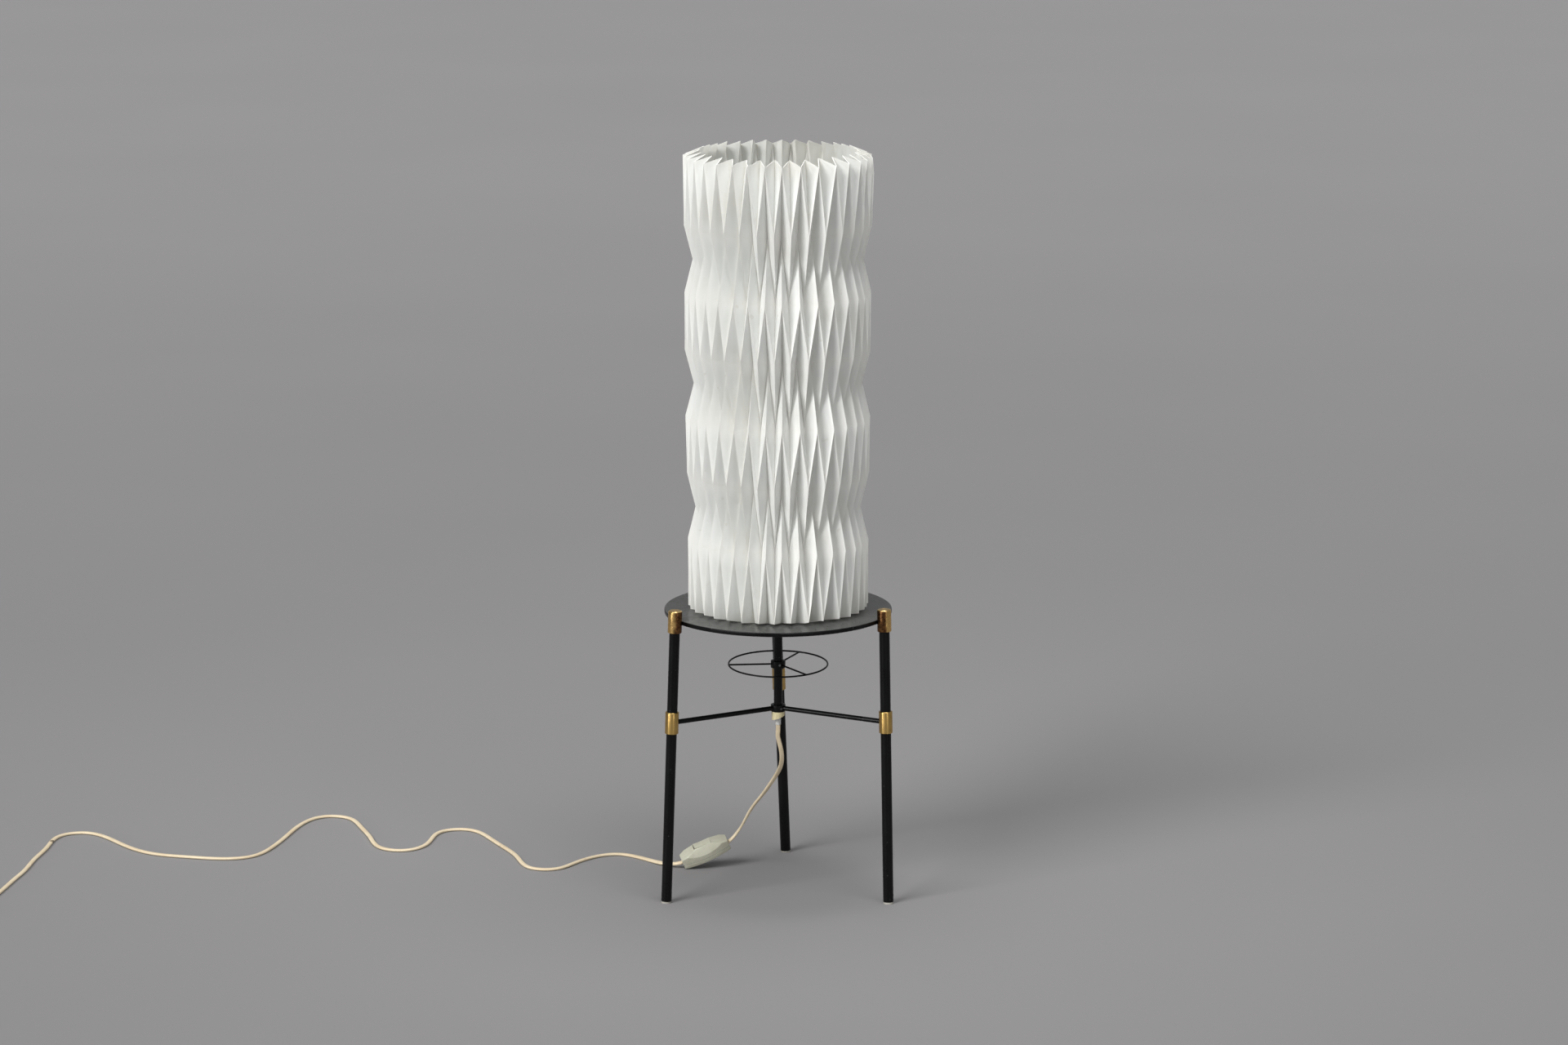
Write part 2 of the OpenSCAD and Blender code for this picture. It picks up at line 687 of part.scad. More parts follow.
module ring_collar() {
    color(black_paint) difference() {
        translate([0, 0, collar_z]) bar(collar_d, collar_h, 0.4, 0.4);
        translate([0, 0, collar_z - cut]) cylinder(h = collar_h + 2 * cut, d = stem_od + 2 * fit_gap);
        for (a = spoke_dirs)
            on_ring(a) translate([0, 0, collar_d / 2 - spoke_seat])
                cylinder(h = spoke_seat + cut, d = ring_wire + 2 * fit_gap);
        grub_hole(ring_z, collar_d, collar_screw_turn);
    }
}

module collar_screw() { grub_screw(ring_z, collar_d, collar_screw_turn); }

// Where the cord leaves the stem

module cord_bush() {
    slant = atan2(bush_slant, bush_d);
    size = 2 * bush_d;
    color(cream_plastic) difference() {
        union() {
            translate([0, 0, hub_z - bush_l]) cylinder(h = bush_l, d1 = bush_d - 0.8, d2 = bush_d);
            translate([0, 0, hub_z - cut]) cylinder(h = spigot_h + cut, d = stem_bore - 2 * fit_gap);
        }
        translate([0, 0, hub_z - bush_l - cut])
            cylinder(h = bush_l + spigot_h + 2 * cut, d = clear_top_d + 2 * fit_gap);
        translate([0, 0, hub_z - bush_l + bush_slant / 2]) rotate([0, -slant, 0])
            translate([-size / 2, -size / 2, -size]) cube(size);
    }
}

module clear_sleeve() {
    color("white", 0.5) translate([0, 0, exit_z]) difference() {
        cylinder(h = clear_l, d1 = clear_end_d, d2 = clear_top_d);
        translate([0, 0, -cut]) cylinder(h = clear_l + 2 * cut, d = clear_bore);
    }
}

module stem_lead() {
    color(cord_cream) translate([0, 0, exit_z]) linear_extrude(height = insert_z - exit_z)
        polygon(cord_outline(lead_shape));
}

// Cord and switch

module cord_upper() {
    color(cord_cream) ringed_tube(lead_rings(upper_route, upper_rings, up_upper, switch_up, 1));
}

module cord_lower() {
    color(cord_cream) ringed_tube(lead_rings(lower_route, lower_rings, switch_up, [0, 0, 1], 0.05));
}

module cord_coil() {
    color(cord_cream) ringed_tube(coil_sections);
}

// Outline of the switch seen from above: bowed sides and square ends
module switch_plan() {
    bow = (switch_w - switch_end_w) / 2;
    bow_r = (pow(switch_l / 2, 2) + bow * bow) / (2 * bow);
    intersection() {
        translate([0, -switch_w / 2]) square([switch_l, switch_w]);
        translate([switch_l / 2, switch_w / 2 - bow_r]) circle(r = bow_r, $fn = 256);
        translate([switch_l / 2, bow_r - switch_w / 2]) circle(r = bow_r, $fn = 256);
    }
}

// Switch body: plan, side and end outlines crossed
module switch_form() {
    slope_l = switch_l / 3;
    end_h = switch_h * switch_end_share;
    side_h = switch_h * switch_side_share;
    half_w = switch_w / 2;
    flat = switch_flat_w / 2;
    intersection() {
        linear_extrude(height = switch_h) switch_plan();
        rotate([90, 0, 0]) translate([0, 0, -half_w]) linear_extrude(height = switch_w)
            polygon([[0, 0], [switch_l, 0], [switch_l, end_h],
                [switch_l - slope_l, switch_h], [slope_l, switch_h], [0, end_h]]);
        rotate([90, 0, 90]) linear_extrude(height = switch_l)
            polygon([[-half_w, 0], [half_w, 0], [half_w, side_h],
                [flat, switch_h], [-flat, switch_h], [-half_w, side_h]]);
    }
}

module cord_entries() {
    wide = cord_w + 2 * entry_gap;
    tall = cord_t + 2 * entry_gap;
    for (x = [-cut, switch_l - switch_entry])
        translate([x, -wide / 2, switch_entry_z - tall / 2]) cube([switch_entry + cut, wide, tall]);
}

module switch_base() {
    color(grey_ivory) at_switch() difference() {
        intersection() {
            switch_form();
            translate([0, -switch_w / 2, 0]) cube([switch_l, switch_w, switch_base_h]);
        }
        cord_entries();
    }
}

module switch_cover() {
    pocket_l = rocker_l + 2 * rocker_gap;
    pocket_w = rocker_w + 2 * rocker_side_gap;
    pocket_z = rocker_pin_z - rocker_room;
    color(grey_ivory) at_switch() difference() {
        switch_form();
        translate([-cut, -switch_w, -cut]) cube([switch_l + 2 * cut, 2 * switch_w, switch_base_h + cut]);
        translate([switch_l / 2 - pocket_l / 2, -pocket_w / 2, pocket_z])
            cube([pocket_l, pocket_w, switch_h]);
        translate([switch_l / 2, pin_reach, rocker_pin_z]) rotate([90, 0, 0])
            cylinder(h = 2 * pin_reach, d = rocker_pin_d);
        cord_entries();
    }
}

// The rocker at rest, with its right end pressed
module switch_rocker() {
    half = rocker_l / 2;
    color(grey_ivory) at_switch() translate([switch_l / 2, 0, rocker_pin_z])
        rotate([0, rocker_travel / 2, 0]) difference() {
            rotate([90, 0, 0]) translate([0, 0, -rocker_w / 2]) linear_extrude(height = rocker_w)
                polygon([[-half, -rocker_below], [half, -rocker_below],
                    [half, rocker_tip], [0, rocker_waist], [-half, rocker_tip]]);
            rotate([90, 0, 0]) translate([0, 0, -rocker_w])
                cylinder(h = 2 * rocker_w, d = rocker_pin_d + 2 * fit_gap);
        }
}

module switch_pin() {
    color(zinc) at_switch() translate([switch_l / 2, pin_reach, rocker_pin_z]) rotate([90, 0, 0])
        cylinder(h = 2 * pin_reach, d = rocker_pin_d);
}

// Plug

module plug_relief() {
    step = relief_l / (2 * relief_grooves + 1);
    color(cream_plastic) at_plug() difference() {
        cylinder(h = relief_l, d1 = relief_start_d, d2 = relief_end_d);
        for (k = [1:relief_grooves])
            translate([0, 0, (2 * k - 1) * step]) difference() {
                cylinder(h = step, d = 2 * relief_end_d);
                translate([0, 0, -cut]) cylinder(h = step + 2 * cut,
                    d = relief_start_d - 1 + (relief_end_d - relief_start_d) * (2 * k - 1) * step / relief_l);
            }
    }
}

// Plug body: the outline of its face, narrowed towards the cord
module plug_body() {
    half_w = plug_w / 2;
    half_t = plug_t / 2;
    tail_w = relief_end_d / 2 + 2;
    tail_t = relief_end_d / 2 + 0.5;
    neck_w = tail_w + 1.5;
    neck_l = plug_l * 0.3;
    full_l = plug_l * 0.6;
    color(cream_plastic) at_plug() translate([0, 0, relief_l]) difference() {
        intersection() {
            linear_extrude(height = plug_l) union() {
                square([plug_t, plug_w - plug_t], center = true);
                for (side = [-1, 1]) translate([0, side * (half_w - half_t)]) circle(r = half_t);
            }
            rotate([0, -90, 0]) translate([0, 0, -half_t]) linear_extrude(height = plug_t)
                polygon([[0, -tail_w], [neck_l, -neck_w], [full_l, 2 - half_w], [plug_l, -half_w],
                    [plug_l, half_w], [full_l, half_w - 2], [neck_l, neck_w], [0, tail_w]]);
            rotate([90, 0, 0]) translate([0, 0, -half_w]) linear_extrude(height = plug_w)
                polygon([[-tail_t, 0], [-half_t, plug_l / 2], [-half_t, plug_l],
                    [half_t, plug_l], [half_t, plug_l / 2], [tail_t, 0]]);
        }
        for (side = [-1, 1])
            translate([0, side * pin_gap / 2, plug_l - pin_seat]) cylinder(h = pin_seat + cut, d = pin_core_d + 2 * fit_gap);
    }
}

// A plug pin: thin in the plug and under its sleeve, full size at its tip
module plug_pin(side) {
    color(zinc) at_plug() translate([0, side * pin_gap / 2, relief_l + plug_l - pin_seat]) union() {
        cylinder(h = pin_seat + pin_sleeve_l + 1, d = pin_core_d);
        translate([0, 0, pin_seat + pin_sleeve_l]) cylinder(h = pin_tip_l, d = pin_d);
        translate([0, 0, pin_seat + pin_l - 1]) cylinder(h = 1, d1 = pin_d, d2 = pin_d - 1.6);
    }
}
module plug_pin_left() { plug_pin(1); }
module plug_pin_right() { plug_pin(-1); }

module pin_sleeve(side) {
    color(cream_plastic) at_plug() translate([0, side * pin_gap / 2, relief_l + plug_l])
        tube(pin_sleeve_d, pin_core_d + 2 * fit_gap, pin_sleeve_l);
}
module pin_sleeve_left() { pin_sleeve(1); }
module pin_sleeve_right() { pin_sleeve(-1); }

// Lamp holder on the stem's end, hidden by the shade

module holder_cup() {
    r = holder_d / 2 - holder_step;
    ledge = r - cup_wall - holder_step;
    color(black_plastic) translate([0, 0, nut_top]) difference() {
        rotate_extrude()
            polygon([[0, 0], [r / 2, 0], [r, holder_cup_h * 0.4], [r, holder_cup_h], [0, holder_cup_h]]);
        translate([0, 0, insert_z - nut_top]) cylinder(h = holder_cup_h, r = r - cup_wall);
        translate([0, 0, cup_floor])
            cylinder(h = insert_z - nut_top - cup_floor + cut, r1 = r / 2 - cup_wall, r2 = ledge);
        translate([0, 0, -cut]) cylinder(h = holder_cup_h, d = neck_d + 2 * fit_gap);
    }
}

module holder_shell() {
    color(black_plastic) translate([0, 0, cup_top])
        tube(holder_d - 2 * holder_step, bulb_cap_d + 2 * holder_wall_gap, holder_shell_h);
}

module holder_ring() {
    color(black_plastic) translate([0, 0, shell_top - holder_ring_h - ring_down]) difference() {
        union() {
            cylinder(h = holder_ring_h, d = holder_d);
            cylinder(h = ring_lip, d = holder_d + 2 * ring_lip);
        }
        translate([0, 0, -cut]) cylinder(h = holder_ring_h + 2 * cut, d = holder_d - 2 * holder_step + 2 * fit_gap);
    }
}

module holder_insert() {
    color("white") translate([0, 0, insert_z])
        cylinder(h = cup_top - insert_z, r = holder_d / 2 - holder_step - cup_wall - fit_gap);
}

module holder_contact() {
    color(satin_brass) translate([0, 0, cup_top]) cylinder(h = contact_h, d = 6);
}

// Bulb

module bulb_contact() {
    color(zinc) translate([0, 0, bulb_z]) cylinder(h = contact_t, d1 = 8, d2 = 12);
}

module bulb_cap() {
    color(zinc) translate([0, 0, bulb_z + contact_t]) difference() {
        rotate_extrude()
            polygon([[0, 0], [7, 0], [bulb_cap_d / 2, 4], [bulb_cap_d / 2, bulb_cap_h], [0, bulb_cap_h]]);
        translate([0, 0, 5]) cylinder(h = bulb_cap_h, d = bulb_cap_d - 1.6);
    }
}

// A ball and the cone that touches it, both made smaller by the inset for the inside
module bulb_form(inset) {
    r = bulb_d / 2 - inset;
    neck = glass_neck_r - inset;
    low = glass_z - ball_z;
    touch = atan2(low, neck) + acos(r / norm([neck, low]));
    translate([0, 0, ball_z]) sphere(r = r);
    translate([0, 0, glass_z])
        cylinder(h = r * sin(touch) - low, r1 = neck, r2 = r * cos(touch));
}

module bulb_glass() {
    color("white") difference() {
        bulb_form(0);
        bulb_form(glass_wall);
        translate([0, 0, glass_z - cut]) cylinder(h = 2 * cut, r = glass_neck_r - glass_wall);
    }
}

shade();
tray();
leg_left();
leg_right();
leg_back();
cap_left();
cap_right();
cap_back();
sleeve_left();
sleeve_right();
sleeve_back();
foot_left();
foot_right();
foot_back();
spreader_hub();
rod_left();
rod_right();
rod_back();
hub_screw();
stem();
tray_washer();
stem_nut();
wire_ring();
spoke_left();
spoke_front();
spoke_right();
ring_collar();
collar_screw();
cord_bush();
clear_sleeve();
stem_lead();
cord_upper();
switch_base();
switch_cover();
switch_rocker();
switch_pin();
cord_lower();
cord_coil();
plug_relief();
plug_body();
plug_pin_left();
plug_pin_right();
pin_sleeve_left();
pin_sleeve_right();
holder_cup();
holder_shell();
holder_ring();
holder_insert();
holder_contact();
bulb_cap();
bulb_glass();
bulb_contact();
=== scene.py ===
# %% [markdown]
# # A table lamp with a folded card shade
#
# This file dresses a lamp that was built as solid parts.

# %% Load the lamp's parts
import json
import math
import random

import bmesh
import bpy
from mathutils import Matrix, Vector


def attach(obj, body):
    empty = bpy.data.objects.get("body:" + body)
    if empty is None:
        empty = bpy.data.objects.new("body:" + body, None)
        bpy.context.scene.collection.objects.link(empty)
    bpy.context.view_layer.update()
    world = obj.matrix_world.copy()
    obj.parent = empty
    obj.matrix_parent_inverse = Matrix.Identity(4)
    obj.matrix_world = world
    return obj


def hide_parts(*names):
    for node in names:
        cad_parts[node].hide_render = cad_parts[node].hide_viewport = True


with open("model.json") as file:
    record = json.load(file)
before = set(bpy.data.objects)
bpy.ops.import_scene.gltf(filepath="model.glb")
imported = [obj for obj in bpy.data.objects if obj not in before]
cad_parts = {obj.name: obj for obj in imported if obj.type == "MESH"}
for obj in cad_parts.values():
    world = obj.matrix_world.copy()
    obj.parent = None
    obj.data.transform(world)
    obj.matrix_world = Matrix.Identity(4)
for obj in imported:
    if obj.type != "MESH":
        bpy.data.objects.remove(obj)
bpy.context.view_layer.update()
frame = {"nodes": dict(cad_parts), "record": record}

MM = 0.001
parts = frame["nodes"]

# %% [markdown]
# ## The camera
#
# The picture was taken from far away with a long lens, a little from above.
# A long lens keeps the legs nearly parallel. The camera looks almost straight
# along the lamp's front and leans down by about twelve degrees.

# %% Place the camera
camera_place = (-0.1414, -5.3981, 1.564)
look_down = 0.2065
look_right = 0.02745
film_width, lens_length = 36, 110.34
bpy.ops.object.select_all(action="DESELECT")
bpy.ops.object.camera_add(location=camera_place,
                          rotation=(math.pi / 2 - look_down, 0, -look_right))
camera = bpy.context.object
camera.name = "studio_camera"
camera.data.sensor_width = film_width
camera.data.lens = lens_length
camera.data.clip_end = 200
bpy.context.scene.camera = camera
print("camera at", camera_place, "lens", round(camera.data.lens, 1), "mm")

# %% [markdown]
# ## The route of the flat lead
#
# The lead leaves the stem, drops in a loose bow to the cord switch, and then
# winds over the table to the left. A real flat lead has no corners, so its
# route is one smooth curve that a few control points pull towards themselves.
# The same points steer the solid lead, in millimetres.

# %% The smooth curve and the switch's place
switch_length, switch_end_width, switch_height = 59, 14.5, 19
switch_tilt, switch_roll, switch_turn = (math.radians(a) for a in (23, 17, 6))
table_gap = 0.05
switch_lift = switch_end_width / 2 * math.sin(switch_roll) * math.cos(switch_tilt) + table_gap
switch_place = Vector((-109, 78.5, switch_lift))
switch_turned = (
    Matrix.Rotation(switch_turn, 3, "Z")
    @ Matrix.Rotation(-switch_tilt, 3, "Y")
    @ Matrix.Rotation(switch_roll, 3, "X")
)
switch_axis = switch_turned @ Vector((1, 0, 0))
switch_up = switch_turned @ Vector((0, 0, 1))


def on_switch(x, y, z):
    """A place on the cord switch, measured from its left end."""
    return switch_place + switch_turned @ Vector((x, y, z))


def curve_point(route, u):
    """A point of the smooth curve, u from 0 to the last control point."""
    last = len(route) - 1
    i = min(int(u), last - 1)
    t = u - i
    before = 2 * route[0] - route[1] if i == 0 else route[i - 1]
    after = 2 * route[last] - route[last - 1] if i == last - 1 else route[i + 2]
    return ((1 - t) ** 3 * before + (3 * t ** 3 - 6 * t * t + 4) * route[i]
            + (-3 * t ** 3 + 3 * t * t + 3 * t + 1) * route[i + 1] + t ** 3 * after) / 6


def curve_line(route, steps):
    """The whole curve as points, with this many between two control points."""
    return [curve_point(route, k / steps) for k in range(steps * (len(route) - 1) + 1)]


def length_of(line):
    return sum((b - a).length for a, b in zip(line, line[1:]))


entry_depth, entry_height = 3, 6
switch_right_end = on_switch(switch_length - entry_depth, 0, entry_height)
switch_left_end = on_switch(entry_depth, 0, entry_height)
print("the lead enters the switch at", tuple(round(x, 1) for x in switch_right_end))

# %% Control points of the lead
lead_width, lead_thick = 5.2, 3.2
exit_height = 194
lie_height = lead_thick / 2 + 0.1
upper_route = [Vector(p) for p in (
    (0, 0, exit_height), (0, 0, exit_height - 10), (-1, 1, 180), (4, 4, 163), (5, 12, 148),
    (3, 21, 135), (-5, 32, 119), (-15, 45, 100), (-26, 56, 84), (-33, 64, 71), (-41, 77, 50))]
upper_route += [switch_right_end + 7 * switch_axis, switch_right_end]
table_route = (
    (-138, 88), (-186, 152), (-238, 104), (-254, 66), (-298, 70), (-306, 130), (-326, 170),
    (-344, 212), (-364, 256), (-412, 246), (-412, 184), (-438, 150), (-478, 164), (-486, 218),
    (-502, 264), (-514, 312), (-556, 320), (-578, 274), (-588, 226), (-600, 180), (-618, 130),
    (-660, 124), (-698, 136), (-742, 146), (-776, 180), (-800, 220), (-830, 254), (-870, 238),
    (-870, 180), (-882, 130), (-884, 86), (-894, 44), (-902, -6), (-916, -64), (-916, -90))
lower_route = [switch_left_end, switch_left_end - 8 * switch_axis]
lower_route += [Vector((x, y, lie_height)) for x, y in table_route]
upper_line = curve_line(upper_route, steps=10)
table_line = curve_line(lower_route, steps=12)
print("upper stretch", round(length_of(upper_line)), "mm,",
      "over the table", round(length_of(table_line)), "mm")

# %% [markdown]
# ## The spare end
#
# The picture loses the lead at its left edge. What such a lamp has beyond it
# is wound into a small round coil just out of view: a spiral inwards, and
# then outwards again on top of the first turns, with the plug at its end.

# %% The coil's line
coil_middle = Vector((-950, -96, 0))
coil_radius, coil_turns, coil_step, coil_layer = 34, 2.5, 5.8, 4.2
coil_lead_in = 6
half_climb = 0.25
last_rise, rise_length = 0.3, 0.25
plug_thick = 13.7
plug_height = plug_thick / 2 + table_gap


def eased(t):
    t = max(0, min(1, t))
    return t * t * (3 - 2 * t)


def coil_point(t):
    """A point of the coil after t turns."""
    r = coil_radius - coil_step * min(t, coil_turns - t)
    a = -2 * math.pi * t
    climb = coil_layer * eased((t - coil_turns / 2 + half_climb) / (2 * half_climb))
    to_plug = plug_height - lie_height - coil_layer
    reach = to_plug * eased((t - coil_turns + last_rise) / rise_length)
    return coil_middle + Vector((r * math.cos(a), r * math.sin(a), lie_height + climb + reach))


turn_steps = 72
coil_line = [coil_point(k / turn_steps) for k in range(1, int(coil_turns * turn_steps) + 1)]
coil_line.append(coil_line[-1] + Vector((0, coil_lead_in, 0)))
lower_line = table_line + coil_line
print("coil", round(length_of(coil_line)), "mm;",
      "from switch to plug", round(length_of(lower_line)), "mm")

# %% [markdown]
# ## The lead's skin
#
# A flat two-core lead looks like two round cords melted together: round at
# both edges, with a shallow groove along the middle. That outline is carried
# along the line. Its upper side turns slowly, never suddenly, as the real
# lead cannot twist on the spot. A free cord is the one piece that is easier
# to write as points than to pull out of a primitive.

# %% Outline of the lead
lead_sides = 16
groove_share, groove_width = 0.26, 0.75


def fuller(value, power):
    """A sine or cosine that stays large for longer, for a circle with fuller corners."""
    return math.copysign(abs(value) ** power, value)


def lead_outline(width, thick):
    points = []
    for k in range(lead_sides):
        a = 2 * math.pi * (k + 0.5) / lead_sides
        x = fuller(math.cos(a), 0.8) * width / 2
        groove = 1 - groove_share * math.exp(-(x / groove_width) ** 2)
        points.append((x, fuller(math.sin(a), 0.7) * thick / 2 * groove))
    return points


outline = lead_outline(lead_width, lead_thick)
print("outline:", len(outline), "points, up to", round(max(x for x, y in outline), 2), "mm out")


# %% Carry the outline along a line
def lead_mesh(name, line, up_start, up_end, turned_by):
    """A closed flat tube along the line.

    Its upper side turns from up_start to up_end over the share turned_by of its length.
    """
    corners, run = [], [0.0]
    for a, b in zip(line, line[1:]):
        run.append(run[-1] + (b - a).length)
    for i, middle in enumerate(line):
        ahead = (line[min(i + 1, len(line) - 1)] - line[max(i - 1, 0)]).normalized()
        up = up_start.lerp(up_end, min(1, run[i] / run[-1] / turned_by))
        top = (up - up.dot(ahead) * ahead).normalized()
        side = ahead.cross(top)
        corners += [(middle + x * side + y * top) * MM for x, y in outline]
    n, rows = lead_sides, len(line)
    faces = [(i * n + k, i * n + (k + 1) % n, (i + 1) * n + (k + 1) % n, (i + 1) * n + k)
             for i in range(rows - 1) for k in range(n)]
    faces += [tuple(range(n - 1, -1, -1)), tuple(range((rows - 1) * n, rows * n))]
    mesh = bpy.data.meshes.new(name)
    mesh.from_pydata(corners, [], faces)
    piece = bpy.data.objects.new(name, mesh)
    bpy.context.scene.collection.objects.link(piece)
    print(name, len(mesh.polygons), "faces", round(run[-1]), "mm long")
    return piece


lead_to_switch = lead_mesh("lead_to_switch", upper_line,
                           Vector((0, 1, 0)), switch_up, turned_by=1)
lead_to_plug = lead_mesh("lead_to_plug", lower_line,
                         switch_up, Vector((0, 0, 1)), turned_by=0.05)

# %% Turn the faces outwards, and say which parts the lead stands for
lead_smooth_angle = 40


def work_on(piece):
    """Makes this piece, and nothing else, the one that the next operator changes."""
    if bpy.context.object and bpy.context.object.mode == "EDIT":
        bpy.ops.object.mode_set(mode="OBJECT")
    bpy.ops.object.select_all(action="DESELECT")
    bpy.context.view_layer.objects.active = piece
    piece.select_set(True)


def face_outwards(piece):
    """Turns every face outwards and shades the round ones smoothly."""
    work_on(piece)
    bpy.ops.object.mode_set(mode="EDIT")
    bpy.ops.mesh.select_all(action="SELECT")
    bpy.ops.mesh.normals_make_consistent(inside=False)
    bpy.ops.object.mode_set(mode="OBJECT")
    bpy.ops.object.shade_smooth_by_angle(angle=math.radians(lead_smooth_angle))


for piece, replaced in ((lead_to_switch, ["cord_upper"]),
                        (lead_to_plug, ["cord_lower", "cord_coil"])):
    face_outwards(piece)
    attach(piece, "lamp")
    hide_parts(*replaced)
    print(piece.name, "stands for", *replaced)

# %% [markdown]
# ## Writing a finish as a sum
#
# A finish is a small recipe: some noise, some wear, a colour between two
# others. Blender does that with Math and Mix nodes, one for each sign. The
# class below wraps a socket, so that an expression such as 1 - wear * 0.4
# adds those nodes by itself. Every other node comes from one method, which
# takes the node's type, its settings and the values or links of its sockets.

# %% A wrapped socket
class Value:
    """A number that changes over a surface; sums and products of it add Math nodes."""

    def __init__(self, recipe, socket):
        self.recipe, self.socket = recipe, socket

    def math(self, kind, *terms):
        return self.recipe.node("ShaderNodeMath", {"operation": kind}, dict(enumerate(terms)))

    def __add__(self, other):
        return self.math("ADD", self, other)

    def __sub__(self, other):
        return self.math("SUBTRACT", self, other)

    def __rsub__(self, other):
        return self.math("SUBTRACT", other, self)

    def __mul__(self, other):
        return self.math("MULTIPLY", self, other)

    def __pow__(self, other):
        return self.math("POWER", self, other)

    __radd__, __rmul__ = __add__, __mul__

    def held(self):
        """Kept between nothing and one."""
        return self.math("MINIMUM", self.math("MAXIMUM", self, 0.0), 1.0)

    def between(self, low, high):
        """Nothing below low, one above high, and a soft step from one to the other."""
        return self.recipe.node("ShaderNodeMapRange", {"interpolation_type": "SMOOTHSTEP"},
                                {"Value": self, "From Min": low, "From Max": high})


print("signs that add nodes: + - * **")


# %% A recipe
class Recipe:
    """One finish: a shader with its fixed values, and what varies over the surface."""

    def __init__(self, name, fixed):
        self.material = bpy.data.materials.new(name)
        self.material.use_nodes = True
        self.tree = self.material.node_tree
        self.shader = self.tree.nodes["Principled BSDF"]
        for socket, value in fixed.items():
            self.shader.inputs[socket].default_value = value
        self.place = self.node("ShaderNodeTexCoord", {}, {}, "Object")

    def node(self, kind, settings, inputs, output=0):
        made = self.tree.nodes.new(kind)
        for name, value in settings.items():
            setattr(made, name, value)
        for name, value in inputs.items():
            self.feed(made.inputs[name], value)
        return Value(self, made.outputs[output])

    def feed(self, socket, value):
        if isinstance(value, Value):
            self.tree.links.new(value.socket, socket)
        else:
            socket.default_value = value

    def noise(self, size_mm, detail=2.0, rough=0.5, stretch=(1, 1, 1)):
        """Cloudy noise with lumps of about this size; stretch makes them longer along an axis."""
        scale = tuple(1000 / size_mm / s for s in stretch)
        spot = self.node("ShaderNodeMapping", {}, {"Vector": self.place, "Scale": scale})
        return self.node("ShaderNodeTexNoise", {},
                         {"Vector": spot, "Scale": 1.0, "Detail": detail, "Roughness": rough})

    def along(self, axis):
        """The place along X, Y or Z."""
        return self.node("ShaderNodeSeparateXYZ", {}, {"Vector": self.place}, axis)

    def attribute(self, name):
        return self.node("ShaderNodeAttribute", {"attribute_name": name}, {}, "Fac")

    def mix(self, share, first, second):
        """A colour between the first and the second."""
        return self.node("ShaderNodeMix", {"data_type": "RGBA"}, {0: share, 6: first, 7: second}, 2)

    def near(self, spot_mm, reach_mm):
        """One at a spot of the object, fading to nothing at this distance."""
        away = self.node("ShaderNodeVectorMath", {"operation": "DISTANCE"},
                         {0: self.place, 1: tuple(c * MM for c in spot_mm)}, "Value")
        return 1 - away.between(reach_mm * MM * 0.5, reach_mm * MM)

    def bump(self, height, depth_mm, strength):
        return self.node("ShaderNodeBump", {},
                         {"Height": height, "Distance": depth_mm * MM, "Strength": strength})

    def lets_through(self, share, colour):
        """Lets this share of the light through the sheet, softened and in this colour."""
        through = self.node("ShaderNodeBsdfTranslucent", {}, {"Color": colour})
        both = self.node("ShaderNodeMixShader", {},
                         {0: share, 1: Value(self, self.shader.outputs[0]), 2: through})
        self.feed(self.tree.nodes["Material Output"].inputs["Surface"], both)

    def finish(self, **varying):
        names = {"colour": "Base Color", "rough": "Roughness", "normal": "Normal"}
        for name, value in varying.items():
            self.feed(self.shader.inputs[names[name]], value)
        print(self.material.name, "is made with", len(self.tree.nodes), "nodes")
        return self.material


finishes = {}

# %% [markdown]
# ## Folded card
#
# The shade is thin white card, a little cool, with a fine fibre in it. The
# outer folds get a painted highlight: they are drawn lighter, where the round
# edge of a real fold catches the light. The inner folds are drawn greyer,
# dust and painted shade in the creases. Age leaves faint warm clouds and a few
# small stains. Thin card lets a little light through, which makes the inside
# of the shade glow softly. Two numbers that are stored on the mesh, fold and
# hollow, tell the finish where the folds are.

# %% Finish: folded card
def folded_card():
    r = Recipe("folded_card", {"Specular IOR Level": 0.3, "Sheen Weight": 0.05})
    cloud = r.noise(60, 3).between(0.42, 0.72)
    fibre = r.noise(0.9, 3, 0.6, (1, 1, 4))
    tooth = r.noise(0.45, 2)
    stain = r.noise(9, 1).between(0.70, 0.76) * r.noise(45, 1).between(0.5, 0.62)
    fold, hollow = r.attribute("fold"), r.attribute("hollow")
    white = r.mix(cloud * 0.5, (0.84, 0.855, 0.835, 1), (0.83, 0.82, 0.77, 1))
    # Painted highlight: the outer folds are drawn lighter than the card
    white = r.mix(fold ** 2.4, white, (0.945, 0.95, 0.935, 1))
    # The inner folds are drawn greyer: dust and painted shade in the creases
    white = r.mix((hollow ** 3 * 0.35).held(), white, (0.69, 0.675, 0.61, 1))
    white = r.mix(stain * 0.28, white, (0.60, 0.55, 0.45, 1))
    white = r.mix((fibre - 0.5) * 0.12 + 0.06, white, (0.66, 0.66, 0.63, 1))
    r.lets_through(0.17 - fold * 0.08 + cloud * 0.04, (0.94, 0.91, 0.84, 1))
    return r.finish(colour=white, rough=0.62 + fibre * 0.2,
                    normal=r.bump(fibre * 0.6 + tooth * 0.4, 0.09, 0.5))


finishes["folded_card"] = folded_card()

# %% [markdown]
# ## Black paint, old brass and bright brass
#
# The tubes, rods and tray are painted black, satin, with a fine skin like an
# orange peel, marks of the drawn tube under it, dust and a few pale chips.
# The tray's top is drawn much lighter: dust, and a painted sheen like the
# reflection on its glossy top. The caps have gone brown and mottled. Their
# outer sides and their top edges, where hands take hold, are worn back to
# gold, and the same gold is also a painted highlight where light catches them.
# The sleeves are still bright, with turning marks round them, which stretch
# every highlight upright, and darker spots.

# %% Finish: black paint
tray_top = 333.0


